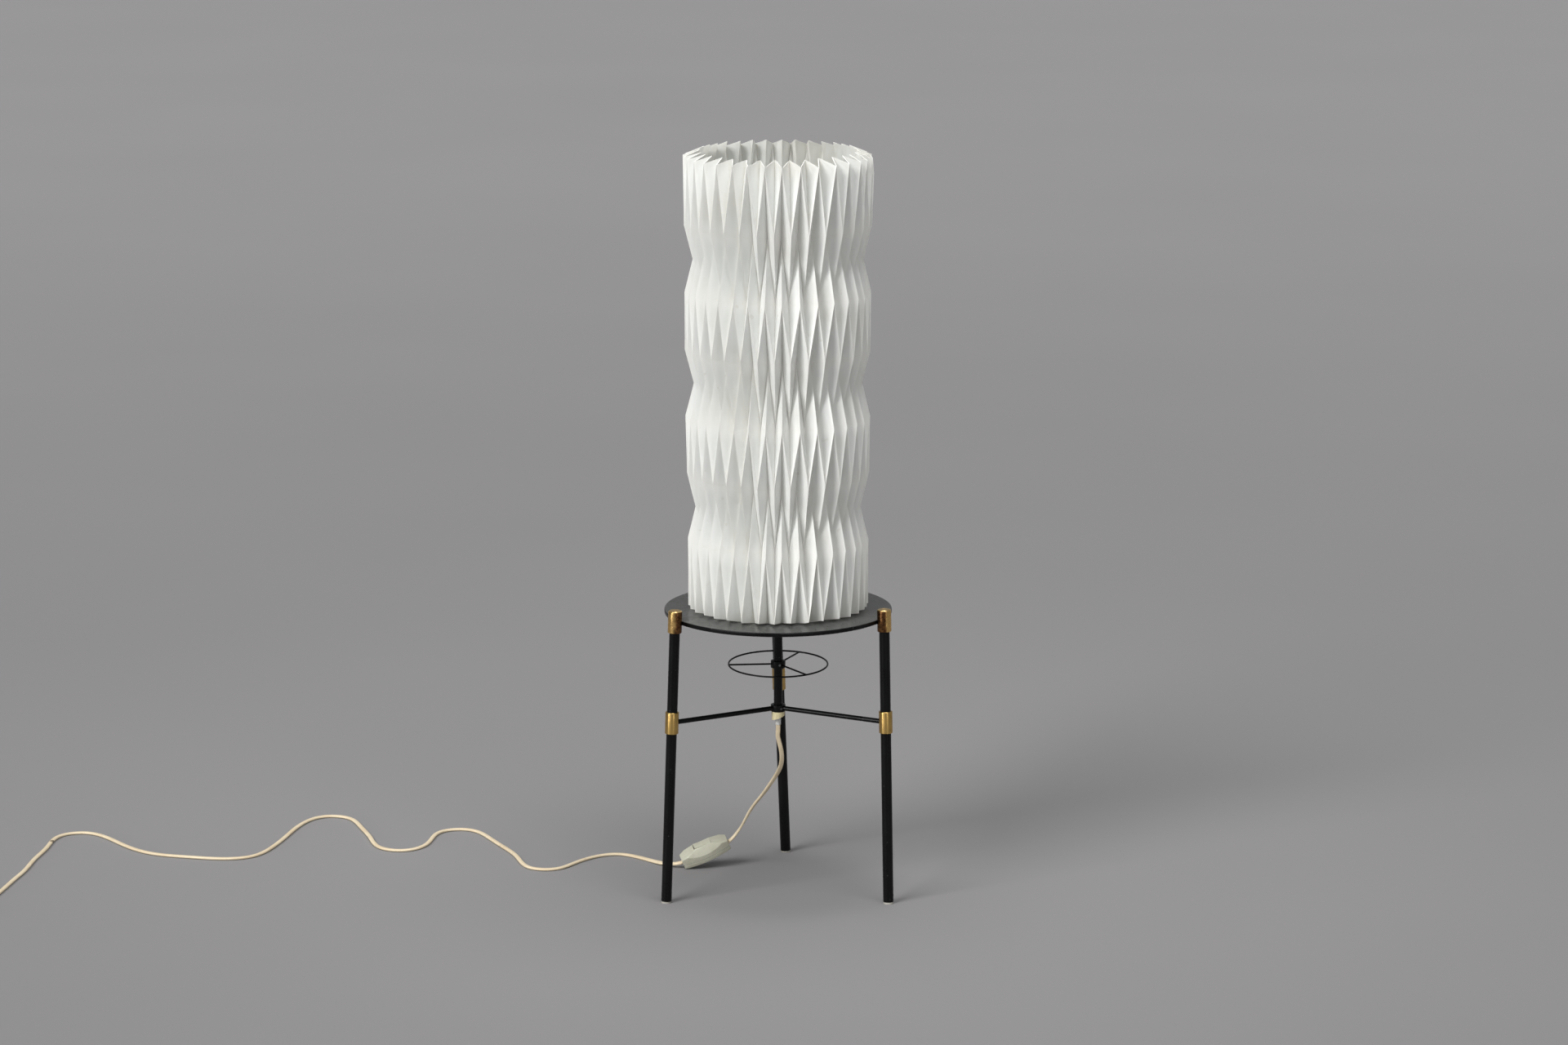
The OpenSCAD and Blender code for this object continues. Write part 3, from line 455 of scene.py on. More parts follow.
def black_lacquer():
    r = Recipe("black_lacquer", {"Specular IOR Level": 0.2})
    peel = r.noise(1.6, 2)
    dust = r.noise(0.8, 3, 0.7).between(0.56, 0.8) * r.noise(30, 2).between(0.35, 0.7)
    chip = r.noise(2.4, 1).between(0.775, 0.80)
    rub = r.noise(14, 3, 0.6, (1, 1, 3)).between(0.4, 0.75)
    drawn = r.noise(0.35, 1, 0.5, (30, 30, 1))
    paint = r.mix(rub * 0.5, (0.0015, 0.00162, 0.001725, 1), (0.00285, 0.003075, 0.003075, 1))
    paint = r.mix(dust * 0.25, paint, (0.07, 0.07, 0.066, 1))
    # The tray's top is drawn much lighter: dust, and a painted sheen like the reflection on its
    # glossy top
    on_tray = r.along("Z").between((tray_top - 0.3) * MM, (tray_top - 0.1) * MM)
    tray_dust_and_sheen = on_tray * (0.75 + r.noise(25, 3) * 0.3)
    paint = r.mix(tray_dust_and_sheen.held() * 0.9, paint, (0.085, 0.088, 0.082, 1))
    paint = r.mix(chip * 0.7, paint, (0.20, 0.20, 0.19, 1))
    return r.finish(colour=paint, rough=(0.25 + rub * 0.10 + dust * 0.18 + peel * 0.05).held(),
                    normal=r.bump(peel + drawn * 0.4, 0.09, 0.7))


finishes["black_lacquer"] = black_lacquer()

# %% Finish: patinated brass
cap_circle = 137.6
cap_shoulder = 344.2


def dark_brass():
    r = Recipe("dark_brass", {"Metallic": 1.0, "Anisotropic": 0.6, "Anisotropic Rotation": 0.25})
    mottle = r.noise(5, 4, 0.65).between(0.38, 0.66)
    freckle = r.noise(1.1, 3, 0.6).between(0.5, 0.68)
    flat_place = r.node("ShaderNodeVectorMath", {"operation": "MULTIPLY"},
                        {0: r.place, 1: (1, 1, 0)})
    from_stem = r.node("ShaderNodeVectorMath", {"operation": "LENGTH"}, {0: flat_place}, "Value")
    outwards = from_stem - cap_circle * MM
    patch = r.noise(9, 3, 0.6, (1, 1, 2.2)) - 0.5
    # The outer side is drawn gold: worn brass, and a painted highlight where light catches it
    rubbed_and_highlit = (outwards + patch * 0.012).between(0.0038, 0.0074)
    brown = r.mix(mottle, (0.10, 0.044, 0.019, 1), (0.24, 0.12, 0.046, 1))
    brown = r.mix(freckle * 0.4, brown, (0.08, 0.04, 0.02, 1))
    metal = r.mix((rubbed_and_highlit * (1 - freckle * 0.35)).held(), brown, (0.76, 0.50, 0.19, 1))
    # The top edge is drawn bright gold: wear, and a painted highlight along it
    top_edge_wear_and_highlight = r.along("Z").between(cap_shoulder * MM, (cap_shoulder + 0.8) * MM)
    metal = r.mix(top_edge_wear_and_highlight * 0.8, metal, (0.88, 0.62, 0.26, 1))
    fine = r.noise(0.7, 2, 0.5, (1, 1, 0.3))
    return r.finish(colour=metal, rough=0.24 + mottle * 0.14 + freckle * 0.12 - rubbed_and_highlit * 0.06,
                    normal=r.bump(fine * 0.5 + mottle * 0.5, 0.04, 0.4))


finishes["dark_brass"] = dark_brass()


# %% Finish: bright brass
def bright_brass(name="bright_brass", gold=(0.60, 0.40, 0.135, 1)):
    r = Recipe(name, {"Metallic": 1.0, "Anisotropic": 0.8, "Anisotropic Rotation": 0.25})
    turned = r.noise(3.0, 3, 0.7, (3, 3, 0.10))
    tarnish = r.noise(7, 3, 0.6).between(0.46, 0.72)
    spot = r.noise(1.4, 2).between(0.66, 0.74)
    metal = r.mix(tarnish * 0.5, gold, (0.48, 0.29, 0.10, 1))
    metal = r.mix(spot * 0.6, metal, (0.20, 0.11, 0.045, 1))
    return r.finish(colour=metal, rough=0.28 + tarnish * 0.12 + turned * 0.06,
                    normal=r.bump(turned, 0.02, 0.3))


finishes["bright_brass"] = bright_brass()
finishes["contact_brass"] = bright_brass("contact_brass", (0.66, 0.47, 0.20, 1))

# %% [markdown]
# ## The lead, the switch and the small plastic parts
#
# Old cream plastic is never one colour. It yellows in clouds, gathers grey
# dust along its groove and keeps dark marks where it was pinched. The lead in
# the picture has one dark nick far to the left and a smudge half way. The
# switch is a pale grey green ivory with grime in its seams, and painted shade
# darkens the rocker's pocket and the rocker's foot.

# %% Finish: cream lead
nick_place = (-868, 206, 1.7)
smudge_place = (-326, 170, 1.7)


def cream_lead():
    r = Recipe("cream_lead", {"Specular IOR Level": 0.4})
    cloud = r.noise(38, 3, 0.6).between(0.35, 0.7)
    grime = r.noise(6, 3, 0.7).between(0.56, 0.78)
    skin = r.noise(0.8, 2)
    cream = r.mix(cloud * 0.8, (0.72, 0.61, 0.43, 1), (0.62, 0.50, 0.33, 1))
    cream = r.mix(grime * 0.35, cream, (0.36, 0.30, 0.21, 1))
    cream = r.mix(r.near(nick_place, 5) * 0.85, cream, (0.09, 0.07, 0.05, 1))
    smudge = r.near(smudge_place, 9) * grime.between(0.1, 0.6)
    cream = r.mix(smudge * 0.6, cream, (0.22, 0.17, 0.11, 1))
    return r.finish(colour=cream, rough=0.42 + cloud * 0.1 + grime * 0.2,
                    normal=r.bump(skin, 0.05, 0.3))


finishes["cream_lead"] = cream_lead()


# %% Finish: moulded plastics
def moulded(name, clean, aged, grime_and_shade_colour, rough):
    """Plastic with a fine skin and clouds of age; specks of grime, and where the mesh says, grime
    in seams and painted shade in pockets.
    """
    r = Recipe(name, {"Specular IOR Level": 0.45})
    cloud = r.noise(12, 3, 0.6).between(0.36, 0.68)
    speck = r.noise(1.1, 3, 0.7).between(0.62, 0.78)
    skin = r.noise(0.5, 2)
    scuff = r.noise(2.2, 3, 0.6, (5, 1, 1)).between(0.62, 0.74)
    plastic = r.mix(cloud * 0.8, clean, aged)
    plastic = r.mix(speck * 0.45, plastic, grime_and_shade_colour)
    # Where the mesh stores grime, this dark colour is grime in seams and painted shade in pockets
    plastic = r.mix(r.attribute("grime") ** 1.5 * 0.85, plastic, grime_and_shade_colour)
    return r.finish(colour=plastic, rough=rough + cloud * 0.08 + scuff * 0.18,
                    normal=r.bump(skin * 0.6 + scuff * 0.4, 0.03, 0.35))


for name, clean, aged, grime_and_shade_colour, rough in (
        ("pale_glide", (0.36, 0.35, 0.31), (0.26, 0.25, 0.22), (0.08, 0.07, 0.06), 0.5),
        ("cream_plastic", (0.75, 0.67, 0.41), (0.66, 0.57, 0.32), (0.30, 0.24, 0.14), 0.42),
        ("switch_ivory", (0.47, 0.465, 0.375), (0.40, 0.39, 0.30), (0.07, 0.062, 0.045), 0.30),
        ("holder_black", (0.018, 0.018, 0.019), (0.032, 0.030, 0.028), (0.10, 0.09, 0.08), 0.30),
        ("holder_ceramic", (0.72, 0.70, 0.64), (0.64, 0.60, 0.52), (0.22, 0.19, 0.15), 0.3)):
    finishes[name] = moulded(name, (*clean, 1), (*aged, 1), (*grime_and_shade_colour, 1), rough)


# %% Finish: plated metal
def bare_metal(name, colour, dull, rough):
    """Plated steel: fine turning marks and dull clouds."""
    r = Recipe(name, {"Metallic": 1.0})
    cloud = r.noise(4, 3, 0.6).between(0.4, 0.7)
    fine = r.noise(1.2, 2, 0.6, (4, 4, 0.3))
    return r.finish(colour=r.mix(cloud * 0.7, colour, dull),
                    rough=rough + cloud * 0.15 + fine * 0.06,
                    normal=r.bump(fine, 0.02, 0.3))


for name, colour, dull, rough in (
        ("zinc_screw", (0.20, 0.20, 0.20), (0.09, 0.088, 0.08), 0.32),
        ("plug_metal", (0.60, 0.60, 0.58), (0.38, 0.36, 0.32), 0.24),
        ("bulb_metal", (0.58, 0.57, 0.54), (0.40, 0.38, 0.33), 0.28)):
    finishes[name] = bare_metal(name, (*colour, 1), (*dull, 1), rough)


# %% Finish: clear plastic and frosted glass
def clear_plastic():
    r = Recipe("clear_plastic",
               {"Transmission Weight": 0.25, "IOR": 1.42, "Specular IOR Level": 0.6})
    haze = r.noise(3, 3, 0.6).between(0.4, 0.7)
    return r.finish(colour=r.mix(haze, (0.80, 0.80, 0.79, 1), (0.64, 0.63, 0.60, 1)),
                    rough=0.10 + haze * 0.2,
                    normal=r.bump(r.noise(1.8, 2), 0.15, 0.5))


def frosted_glass():
    r = Recipe("frosted_glass",
               {"Specular IOR Level": 0.5, "Transmission Weight": 0.25, "IOR": 1.45})
    haze = r.noise(18, 2).between(0.3, 0.7)
    grain = r.noise(0.35, 2)
    return r.finish(colour=r.mix(haze, (0.80, 0.81, 0.81, 1), (0.74, 0.75, 0.74, 1)),
                    rough=0.34 + haze * 0.08,
                    normal=r.bump(grain, 0.02, 0.3))


finishes["clear_plastic"] = clear_plastic()
finishes["frosted_glass"] = frosted_glass()

# %% [markdown]
# ## One finish for each slot
#
# Each part names the finish that it takes. A part that keeps its solid shape
# gets its finish in the slot that it came with. A piece that is made here is
# given the finish of its slot.

# %% Give the finishes to the parts and to the lead
def wear_slot(piece, slot_name):
    """Gives a piece the finish of this slot."""
    piece.data.materials.clear()
    piece.data.materials.append(finishes[slot_name])


slot_of = {s["node"]: s["material_slot"] for s in frame["record"]["subparts"]}
for name, part in parts.items():
    part.data.materials.clear()
    part.data.materials.append(finishes[slot_of[name]])
for piece in (lead_to_switch, lead_to_plug):
    wear_slot(piece, "cream_lead")
print("finishes:", len(finishes), "for", len(parts), "parts")

# %% [markdown]
# ## Round the edges of turned and moulded parts
#
# No real edge is a knife's edge: a thin bright line of light runs along each
# one. These pieces start as copies of the solid parts. The points of a copy
# are joined, lines across its flat faces are dissolved, and the edges that a
# test picks are bevelled, some widely and some hardly at all.

# %% Pick parts of a mesh
def pick(test, what="verts"):
    """In edit mode, selects the corners or edges that pass the test, and nothing else."""
    shape = bmesh.from_edit_mesh(bpy.context.object.data)
    bpy.ops.mesh.select_mode(type={"verts": "VERT", "edges": "EDGE"}[what])
    bpy.ops.mesh.select_all(action="DESELECT")
    count = 0
    for part in getattr(shape, what):
        if test(part):
            part.select = True
            count += 1
    shape.select_flush(True)
    bmesh.update_edit_mesh(bpy.context.object.data)
    return count


# %% A copy with rounded edges
weld, flat_angle, sharp_angle, smooth_angle = 0.01, 0.6, 25, 32


def softened(name, part_name, passes, body="lamp"):
    """Each pass is (radius, steps, test); a test of None takes every outward edge."""
    piece = bpy.data.objects.new(name, parts[part_name].data.copy())
    bpy.context.scene.collection.objects.link(piece)
    work_on(piece)
    bpy.ops.mesh.customdata_custom_splitnormals_clear()
    bpy.ops.object.mode_set(mode="EDIT")
    bpy.ops.mesh.select_all(action="SELECT")
    bpy.ops.mesh.remove_doubles(threshold=weld * MM)
    bpy.ops.mesh.mark_sharp(clear=True)
    bpy.ops.mesh.dissolve_limited(angle_limit=math.radians(flat_angle))
    for radius, steps, test in passes:
        picked = pick(lambda e: e.is_manifold
                      and e.calc_face_angle_signed(0) > math.radians(sharp_angle)
                      and (test is None or test(e)), "edges")
        if picked:
            bpy.ops.mesh.bevel(offset=radius * MM, segments=steps, profile=0.5,
                               affect="EDGES", clamp_overlap=True)
    bpy.ops.object.mode_set(mode="OBJECT")
    bpy.ops.object.shade_smooth_by_angle(angle=math.radians(smooth_angle))
    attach(piece, body)
    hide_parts(part_name)
    wear_slot(piece, slot_of[part_name])
    print(name, "has", len(piece.data.polygons), "faces")
    return piece


# %% Caps, sleeves, hub, collar, screws and glides
sole_height = 0.3


def above_sole(edge):
    return all(v.co.z > sole_height * MM for v in edge.verts)


turned_parts = []
for side in ("left", "right", "back"):
    turned_parts += [
        softened("rubbed_highlit_cap_" + side, "cap_" + side, [(0.45, 3, None)]),
        softened("bright_sleeve_" + side, "sleeve_" + side, [(0.35, 2, None)]),
        softened("glide_" + side, "foot_" + side, [(0.5, 2, above_sole)]),
    ]
for name, part_name, radius in (
        ("spreader_boss", "spreader_hub", 0.25), ("ring_boss", "ring_collar", 0.25),
        ("slotted_hub_screw", "hub_screw", 0.12), ("slotted_collar_screw", "collar_screw", 0.12),
        ("slanted_bush", "cord_bush", 0.5), ("nut_above_tray", "stem_nut", 0.35),
        ("washer_above_tray", "tray_washer", 0.25)):
    turned_parts.append(softened(name, part_name, [(radius, 2, None)]))
print("turned parts with rounded edges:", len(turned_parts))

# %% Lamp holder
holder_pieces = [softened(name, part_name, [(radius, 3, None)]) for name, part_name, radius in (
    ("lower_cup", "holder_cup", 1.0), ("upper_shell", "holder_shell", 0.8),
    ("shell_ring", "holder_ring", 0.5))]
print("holder pieces:", [piece.name for piece in holder_pieces])

# %% [markdown]
# ## The cord switch
#
# The switch is a moulded box of two halves. Its long upper edges and its ends
# are generously round, the seam between the halves is a fine groove, and the
# pocket of the rocker is crisp. The rocker has soft edges all round.

# %% Switch: two halves and the rocker
seam_height = 5.0
pocket_half_length, pocket_half_width = 10.9, 4.95
entry_half_width, entry_low, entry_high = 3.5, 3, 9
close = 0.05


def in_switch(corner):
    """The place of a corner of the mesh, in millimetres of the switch's own frame."""
    return switch_turned.transposed() @ (corner.co / MM - switch_place)


def beside_pocket(p, gap):
    """True inside the rocker's pocket as seen from above, or this close to it."""
    return (abs(p.x - switch_length / 2) < pocket_half_length + gap
            and abs(p.y) < pocket_half_width + gap)


def at_seam(edge):
    return all(abs(in_switch(v).z - seam_height) < close for v in edge.verts)


def at_pocket(edge):
    return all(beside_pocket(p, 2 * close) and p.z > seam_height + 1
               for p in map(in_switch, edge.verts))


def at_entry(edge):
    return all(abs(p.y) < entry_half_width and entry_low < p.z < entry_high
               for p in map(in_switch, edge.verts))


def outside(edge):
    return not (at_seam(edge) or at_pocket(edge) or at_entry(edge))


switch_lower = softened("switch_lower_half", "switch_base",
                        [(0.7, 3, outside), (0.45, 1, at_seam)])
switch_upper = softened("switch_upper_half", "switch_cover",
                        [(0.6, 3, outside), (0.45, 1, at_seam), (0.2, 1, at_pocket)])
rocker = softened("rocker", "switch_rocker", [(0.3, 3, None)], "rocker")

# %% Tell the finish where grime and painted shade sit
pocket_shade_top = switch_height - 2.5
seam_grime = 0.04


def in_groove(corner):
    """True in the seam between the halves, in the rocker's pocket and at the rocker's foot."""
    p = in_switch(corner)
    # The seam gets grime; the pocket and the rocker's foot get painted shade
    return (abs(p.z - seam_height) < seam_grime
            or (beside_pocket(p, close) and p.z < pocket_shade_top))


def store(piece, name, test):
    """Stores one on the corners of a mesh that pass the test, and nothing on the others."""
    numbers = [float(test(corner)) for corner in piece.data.vertices]
    piece.data.attributes.new(name, "FLOAT", "POINT").data.foreach_set("value", numbers)
    return int(sum(numbers))


# The stored grime is grime in the seam, and painted shade in the pocket and at the rocker's foot
for piece in (switch_lower, switch_upper, rocker):
    print(piece.name, "has", store(piece, "grime", in_groove), "grimy corners")

# %% [markdown]
# ## The plug
#
# The plug hides beyond the edge of the picture. It is a flat moulded body
# with round shoulders, a grooved strain relief and two pins.

# %% Plug
plug_middle = (coil_middle.x - coil_radius, plug_height)
pin_offset, pin_reach = 9.5, 2.5


def off_pins(edge):
    return not all(abs(abs(v.co.x / MM - plug_middle[0]) - pin_offset) < pin_reach
                   and abs(v.co.z / MM - plug_middle[1]) < pin_reach for v in edge.verts)


plug_shell = softened("plug_shell", "plug_body", [(1.5, 3, off_pins)])
grooved_relief = softened("grooved_relief", "plug_relief", [(0.3, 2, None)])
plug_pieces = [plug_shell, grooved_relief]
plug_pieces += [parts[kind + side] for kind in ("plug_pin_", "pin_sleeve_")
                for side in ("left", "right")]
print("at the lead's end:", [p.name for p in plug_pieces])

# %% [markdown]
# ## The crinkled clear sleeve
#
# A short clear sleeve comes out of the bush. It has been squeezed so often
# that it is all little dents: rings of uneven width, twisted out of place.
# It starts as a ring of corners, which is pulled up step by step into an open
# tube. The tube then gets its thickness, towards its axis.

# %% Pull the sleeve up from a ring
def tower(name, sides, rings, turned=0.0):
    """Pulls a ring of corners up into a round shape, and stays in edit mode.

    Each ring is a height and a radius.
    """
    bpy.ops.object.select_all(action="DESELECT")
    height, radius = rings[0]
    bpy.ops.mesh.primitive_circle_add(vertices=sides, radius=radius * MM, fill_type="NOTHING",
                                      location=(0, 0, height * MM), rotation=(0, 0, turned))
    piece = bpy.context.object
    piece.name = name
    bpy.ops.object.transform_apply(location=True, rotation=True, scale=True)
    bpy.ops.object.mode_set(mode="EDIT")
    bpy.ops.mesh.select_all(action="SELECT")
    for next_height, next_radius in rings[1:]:
        rise = (0, 0, (next_height - height) * MM)
        bpy.ops.mesh.extrude_region_move(TRANSFORM_OT_translate={"value": rise})
        grow = next_radius / radius
        bpy.ops.transform.resize(value=(grow, grow, 1), center_override=(0, 0, 0))
        height, radius = next_height, next_radius
    return piece


ring_count, ring_step, sleeve_radius = 21, 1.3, 3.15
random.seed(7)
sleeve_rings = [(exit_height + ring_step * k, sleeve_radius + random.uniform(-0.12, 0.22))
                for k in range(ring_count)]
crinkled = tower("crinkled_sleeve", 22, sleeve_rings)
print("sleeve of", ring_count, "rings,", round(ring_step * (ring_count - 1), 1), "mm long")

# %% Crumple it, and give it its thickness
sleeve_wall, sleeve_dent = 0.25, 0.2


def face_away_from_axis(piece):
    """Leaves edit mode, and flips an open round wall if its faces look inwards."""
    bpy.ops.object.mode_set(mode="OBJECT")
    if sum(face.normal.xy.dot(face.center.xy) for face in piece.data.polygons) < 0:
        bpy.ops.object.mode_set(mode="EDIT")
        bpy.ops.mesh.select_all(action="SELECT")
        bpy.ops.mesh.flip_normals()
        bpy.ops.object.mode_set(mode="OBJECT")


def thicken_inwards(piece, thickness, angle):
    """Gives an open round wall its thickness, towards its axis."""
    face_away_from_axis(piece)
    wall = piece.modifiers.new("wall", "SOLIDIFY")
    wall.thickness = thickness * MM
    wall.offset = -1
    bpy.ops.object.modifier_apply(modifier="wall")
    bpy.ops.object.shade_smooth_by_angle(angle=math.radians(angle))


bpy.ops.mesh.select_all(action="SELECT")
bpy.ops.transform.vertex_random(offset=sleeve_dent * MM, uniform=1.0, seed=3)
thicken_inwards(crinkled, sleeve_wall, angle=20)
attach(crinkled, "lamp")
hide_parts("clear_sleeve")
wear_slot(crinkled, "clear_plastic")
print("clear sleeve", [round(x * 1000, 1) for x in crinkled.dimensions], "mm")

# %% [markdown]
# ## The bulb's screw cap
#
# The thread of the cap is pressed into thin metal, so it shows as soft waves.

# %% Threaded cap
cap_low, thread_rise = 365.0, 3.63
thread_radius, thread_wave = 12.75, 0.42
cap_rings = [(cap_low, 7.0), (cap_low + 2.5, 10.5), (cap_low + 4, 12.6)]
for k in range(1, 33):
    z = cap_low + 4 + k * 0.5
    cap_rings.append((z, thread_radius + thread_wave * math.cos(2 * math.pi * z / thread_rise)))
cap_rings += [(cap_low + 20.6, 13.1), (cap_low + 23, 13.2)]
threaded = tower("threaded_cap", 48, cap_rings)
thicken_inwards(threaded, thickness=0.4, angle=40)
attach(threaded, "bulb")
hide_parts("bulb_cap")
wear_slot(threaded, "bulb_metal")
print("bulb cap", [round(x * 1000, 1) for x in threaded.dimensions], "mm")

# %% [markdown]
# ## The folded shade
#
# The shade is one sheet of card, rolled into a cylinder and folded all round.
# It has eight rows of corners. In each row every other corner stands out and
# the ones between lie in, and the next row is the other way round. Between
# two rows the card folds out along slanted ridges in one band, and in along
# slanted valleys in the next one.
#
# The way from a primitive: a ring of corners is pulled up band by band, every
# other corner is drawn in, and the slanted folds are cut by joining corners.
# The folds are marked while they are still single edges. Then the card is
# divided finely, the soft folds are rounded, and it gets small buckles and
# its thickness.

# %% Sizes of the shade
pleats = 34
columns = 2 * pleats
column_step = 360 / columns
shade_turn = 1.5
shade_low, shade_high = 103.4, 108.0
pleat_depth = 18.5
foot_lift = 3.4
band_heights = (77.5, 78.2, 65.0, 78.2, 65.0, 78.2, 77.5)
inner_rise = (-foot_lift, 1.5, -5.0, 1.5, -5.0, 1.5, -5.0, 7.0)
rows = range(len(band_heights) + 1)
shade_gap = 0.3
row_heights = [tray_top + shade_gap + foot_lift + sum(band_heights[:i]) for i in rows]
widening = (shade_high - shade_low) / sum(band_heights)
row_radii = [shade_low + widening * (z - row_heights[0]) for z in row_heights]
print("shade rows at", [round(z) for z in row_heights])

# %% Pull the bands up from a ring
shade = tower("folded_shade", columns, list(zip(row_heights, row_radii)),
              math.radians(shade_turn))
print("corners:", len(bmesh.from_edit_mesh(shade.data).verts), "in", columns, "columns")


# %% Join corners for the slanted folds
def row_of(corner):
    return min(rows, key=lambda i: abs(row_heights[i] * MM - corner.co.z))


def column_of(corner):
    """Columns are counted from the front, against the clock seen from above."""
    angle = math.degrees(math.atan2(corner.co.y, corner.co.x))
    return round((angle + 90 - shade_turn) / column_step) % columns


def stands_out(corner):
    return (row_of(corner) + column_of(corner)) % 2 == 1


for i in range(len(band_heights)):
    pick(lambda v: row_of(v) in (i, i + 1) and stands_out(v) == (i % 2 == 0))
    bpy.ops.mesh.vert_connect()
print("edges with the slanted folds:", len(bmesh.from_edit_mesh(shade.data).edges))


# %% Mark which folds are sharp and which are soft
def edge_kind(edge):
    """sharp for a ridge, soft for a valley, or flat for a line along a row."""
    a, b = edge.verts
    low = min(row_of(a), row_of(b))
    if row_of(a) == row_of(b):
        return "flat"
    slanted = column_of(a) != column_of(b)
    return "sharp" if slanted == (low % 2 == 0) else "soft"


sharp = pick(lambda e: edge_kind(e) == "sharp", "edges")
bpy.ops.mesh.mark_sharp()
soft = pick(lambda e: edge_kind(e) == "soft", "edges")
bpy.ops.mesh.mark_seam()
print("ridges", sharp, "valleys", soft)

# %% Draw every other corner in
for i in rows:
    pick(lambda v: row_of(v) == i and not stands_out(v))
    inwards = (row_radii[i] - pleat_depth) / row_radii[i]
    bpy.ops.transform.resize(value=(inwards, inwards, 1), center_override=(0, 0, 0))
for i in rows:
    # The heights are moved last, so that a corner's row can still be told
    pick(lambda v: row_of(v) == i and not stands_out(v))
    bpy.ops.transform.translate(value=(0, 0, inner_rise[i] * MM))
bpy.ops.object.mode_set(mode="OBJECT")
print("shade height", round(shade.dimensions.z * 1000, 1), "mm")

# %% [markdown]
# ## Card is never quite even
#
# A folder works by eye, so no two pleats are alike: each fold line stands a
# degree or so off its even place, and each corner a fraction of a millimetre.
# Then the card is divided finely enough to bend. The valleys are rounded a
# little, because the card was pressed there less hard than along the ridges.

# %% Uneven folds
angle_play, corner_play = 0.5, 0.7
random.seed(34)


def spread(column):
    """In degrees: pleats stand wider apart right of the front, and crowd together beyond."""
    return 3.0 * math.exp(-((column - 9) / 3.6) ** 2) - 0.5 * math.exp(-(column / 3) ** 2)


fold_shift = [spread(c if c <= pleats else c - columns) + random.uniform(-angle_play, angle_play)
              for c in range(columns)]
work_on(shade)
bpy.ops.object.mode_set(mode="EDIT")
column_places = {}
for v in bmesh.from_edit_mesh(shade.data).verts:
    column_places.setdefault(column_of(v), []).append(v.index)
for column, members in column_places.items():
    chosen = set(members)
    pick(lambda v: v.index in chosen)
    bpy.ops.transform.rotate(value=-math.radians(fold_shift[column]), orient_axis="Z",
                             center_override=(0, 0, 0))
bpy.ops.mesh.select_all(action="SELECT")
bpy.ops.transform.vertex_random(offset=corner_play * MM, uniform=1.0, seed=5)
print("uneven by up to", round(max(abs(s) for s in fold_shift), 2), "degrees")

# %% Divide the card, and round its valleys
first_corners = len(rows) * columns
bpy.ops.mesh.subdivide(number_cuts=3)
bpy.ops.mesh.select_mode(type="VERT")
# The corners of the rows are the first points of the mesh. The new points come in another
# order in each run, and random moves go by that order, so it is fixed before anything moves
pick(lambda v: v.index >= first_corners)
bpy.ops.mesh.sort_elements(type="CURSOR_DISTANCE", elements={"VERT"})
shape = bmesh.from_edit_mesh(shade.data)
shape.verts.index_update()
on_ridge = {v.index for e in shape.edges if not e.smooth for v in e.verts}
in_valley = {v.index for e in shape.edges if e.seam for v in e.verts}
rounded = pick(lambda v: v.index in in_valley and v.index not in on_ridge
               and v.index >= first_corners and not v.is_boundary)
bpy.ops.mesh.vertices_smooth(factor=0.25)
print("points rounded in the valleys:", rounded, "of", len(shape.verts))

# %% Dent the card in four places, and store where its folds are
# Each dent has its place, its reach, how far it moves a point, and its random seed
dents = (((100, -22, 838), 34, 1.1, 11), ((-40, -96, 866), 16, 0.7, 12),
         ((36, -98, 340), 18, 0.6, 13), ((-92, 40, 700), 26, 0.8, 14))
for spot, reach, dent, seed in dents:
    pick(lambda v: (v.co / MM - Vector(spot)).length < reach)
    bpy.ops.transform.vertex_random(offset=dent * MM, uniform=1.0, seed=seed)
bpy.ops.mesh.select_all(action="SELECT")
bpy.ops.mesh.normals_make_consistent(inside=False)
face_away_from_axis(shade)
print("card faces", len(shade.data.polygons),
      "ridge points", store(shade, "fold", lambda v: v.index in on_ridge),
      "valley points", store(shade, "hollow", lambda v: v.index in in_valley))

# %% Small buckles and the card's thickness
buckle_width, buckle_height, card_thickness = 50, 0.7, 0.7
crease_angle = 12
buckle_cloud = bpy.data.textures.new("buckle_cloud", "CLOUDS")
buckle_cloud.noise_scale = buckle_width * MM
buckles = shade.modifiers.new("buckles", "DISPLACE")
buckles.texture = buckle_cloud
buckles.texture_coords = "LOCAL"
buckles.strength = buckle_height * MM
card = shade.modifiers.new("card", "SOLIDIFY")
card.thickness = card_thickness * MM
card.offset = -1
for name in ("buckles", "card"):
    bpy.ops.object.modifier_apply(modifier=name)
bpy.ops.object.shade_smooth_by_angle(angle=math.radians(crease_angle))
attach(shade, "shade")
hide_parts("shade")
wear_slot(shade, "folded_card")
print("shade faces", len(shade.data.polygons),
      "size", [round(x * 1000, 1) for x in shade.dimensions])

# %% The start, the length and the points of both stretches
tuple(c * MM for c in upper_line[0])
length_of(upper_line) * MM
[tuple(p * MM) for p in upper_line]
tuple(c * MM for c in lower_line[0])
length_of(lower_line) * MM
[tuple(p * MM) for p in lower_line]
print("declared", round(length_of(upper_line) + length_of(lower_line)), "mm of lead")
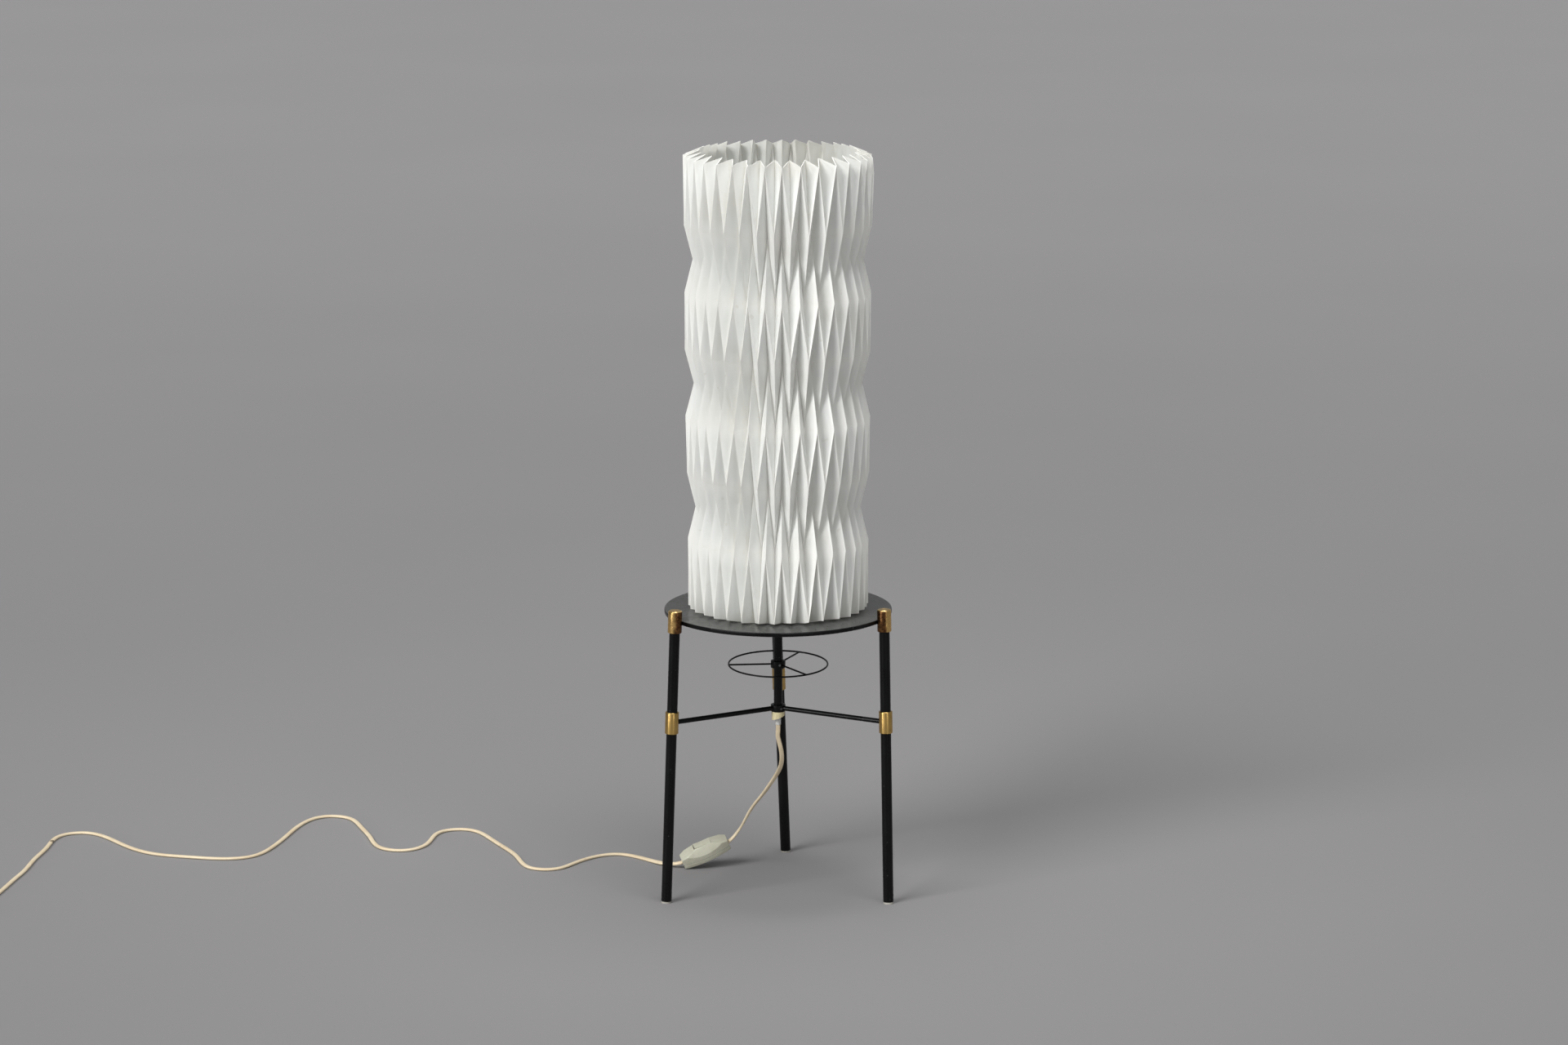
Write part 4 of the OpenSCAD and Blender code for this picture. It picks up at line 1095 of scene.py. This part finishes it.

# %% [markdown]
# ## Floor and light
#
# A plain pale floor and soft studio light. The floor is painted a little
# darker in front than far behind, as painted shade. The light of a large
# window comes from the left and in front, as in the picture. One lamp is high
# in front and one right above the shade's opening. A low, narrow one on each
# side draws the highlights on the brass. The world adds a little light from
# everywhere, less than the lamps do, so that metal keeps its dark edges.

# %% Floor
bpy.ops.object.select_all(action="DESELECT")
bpy.ops.mesh.primitive_plane_add(size=60, location=(0, 0, -0.1 * MM))
floor = bpy.context.object
floor.name = "studio_floor"
floor_recipe = Recipe("studio_floor", {"Roughness": 0.75, "Specular IOR Level": 0.2})
# Painted shade: the floor is drawn darker in front than far behind
distance = floor_recipe.along("Y").between(-1, 7)
floor_tone = floor_recipe.mix(distance * 0.8 + floor_recipe.noise(900, 2) * 0.2,
                              (0.228, 0.223, 0.224, 1), (0.318, 0.310, 0.313, 1))
floor.data.materials.append(floor_recipe.finish(colour=floor_tone))
print("floor", round(floor.dimensions.x), "m wide")

# %% Lamps and world
def soft_light(name, kind, place, towards, size, power):
    """A lamp that looks at a point.

    The size of a sun is its angle in degrees, that of an area its width and height.
    """
    bpy.ops.object.select_all(action="DESELECT")
    bpy.ops.object.light_add(type=kind, location=place)
    light = bpy.context.object
    light.name = name
    light.data.energy = power
    if kind == "SUN":
        light.data.angle = math.radians(size)
    else:
        light.data.shape = "RECTANGLE"
        light.data.size, light.data.size_y = size
    light.rotation_euler = (Vector(towards) - Vector(place)).to_track_quat("-Z", "Y").to_euler()


middle = (0, 0, 0.45)
soft_light("left_window", "SUN", (-1.9, -2.0, 2.7), middle, 28, 2.35)
soft_light("high_front", "SUN", (0.6, -1.6, 3.2), middle, 40, 1.0)
soft_light("above_opening", "AREA", (0.06, -0.02, 1.75), middle, (0.5, 0.5), 9)
soft_light("left_strip", "SUN", (-2.5, -1.6, 0.85), middle, 8, 0.65)
soft_light("right_fill", "SUN", (1.9, -3.5, 1.05), middle, 14, 0.22)
world = bpy.data.worlds.new("studio_air")
world.use_nodes = True
air = world.node_tree.nodes["Background"].inputs
air["Color"].default_value = (0.80, 0.81, 0.83, 1)
air["Strength"].default_value = 0.30
bpy.context.scene.world = world
bpy.context.scene.view_settings.view_transform = "Standard"
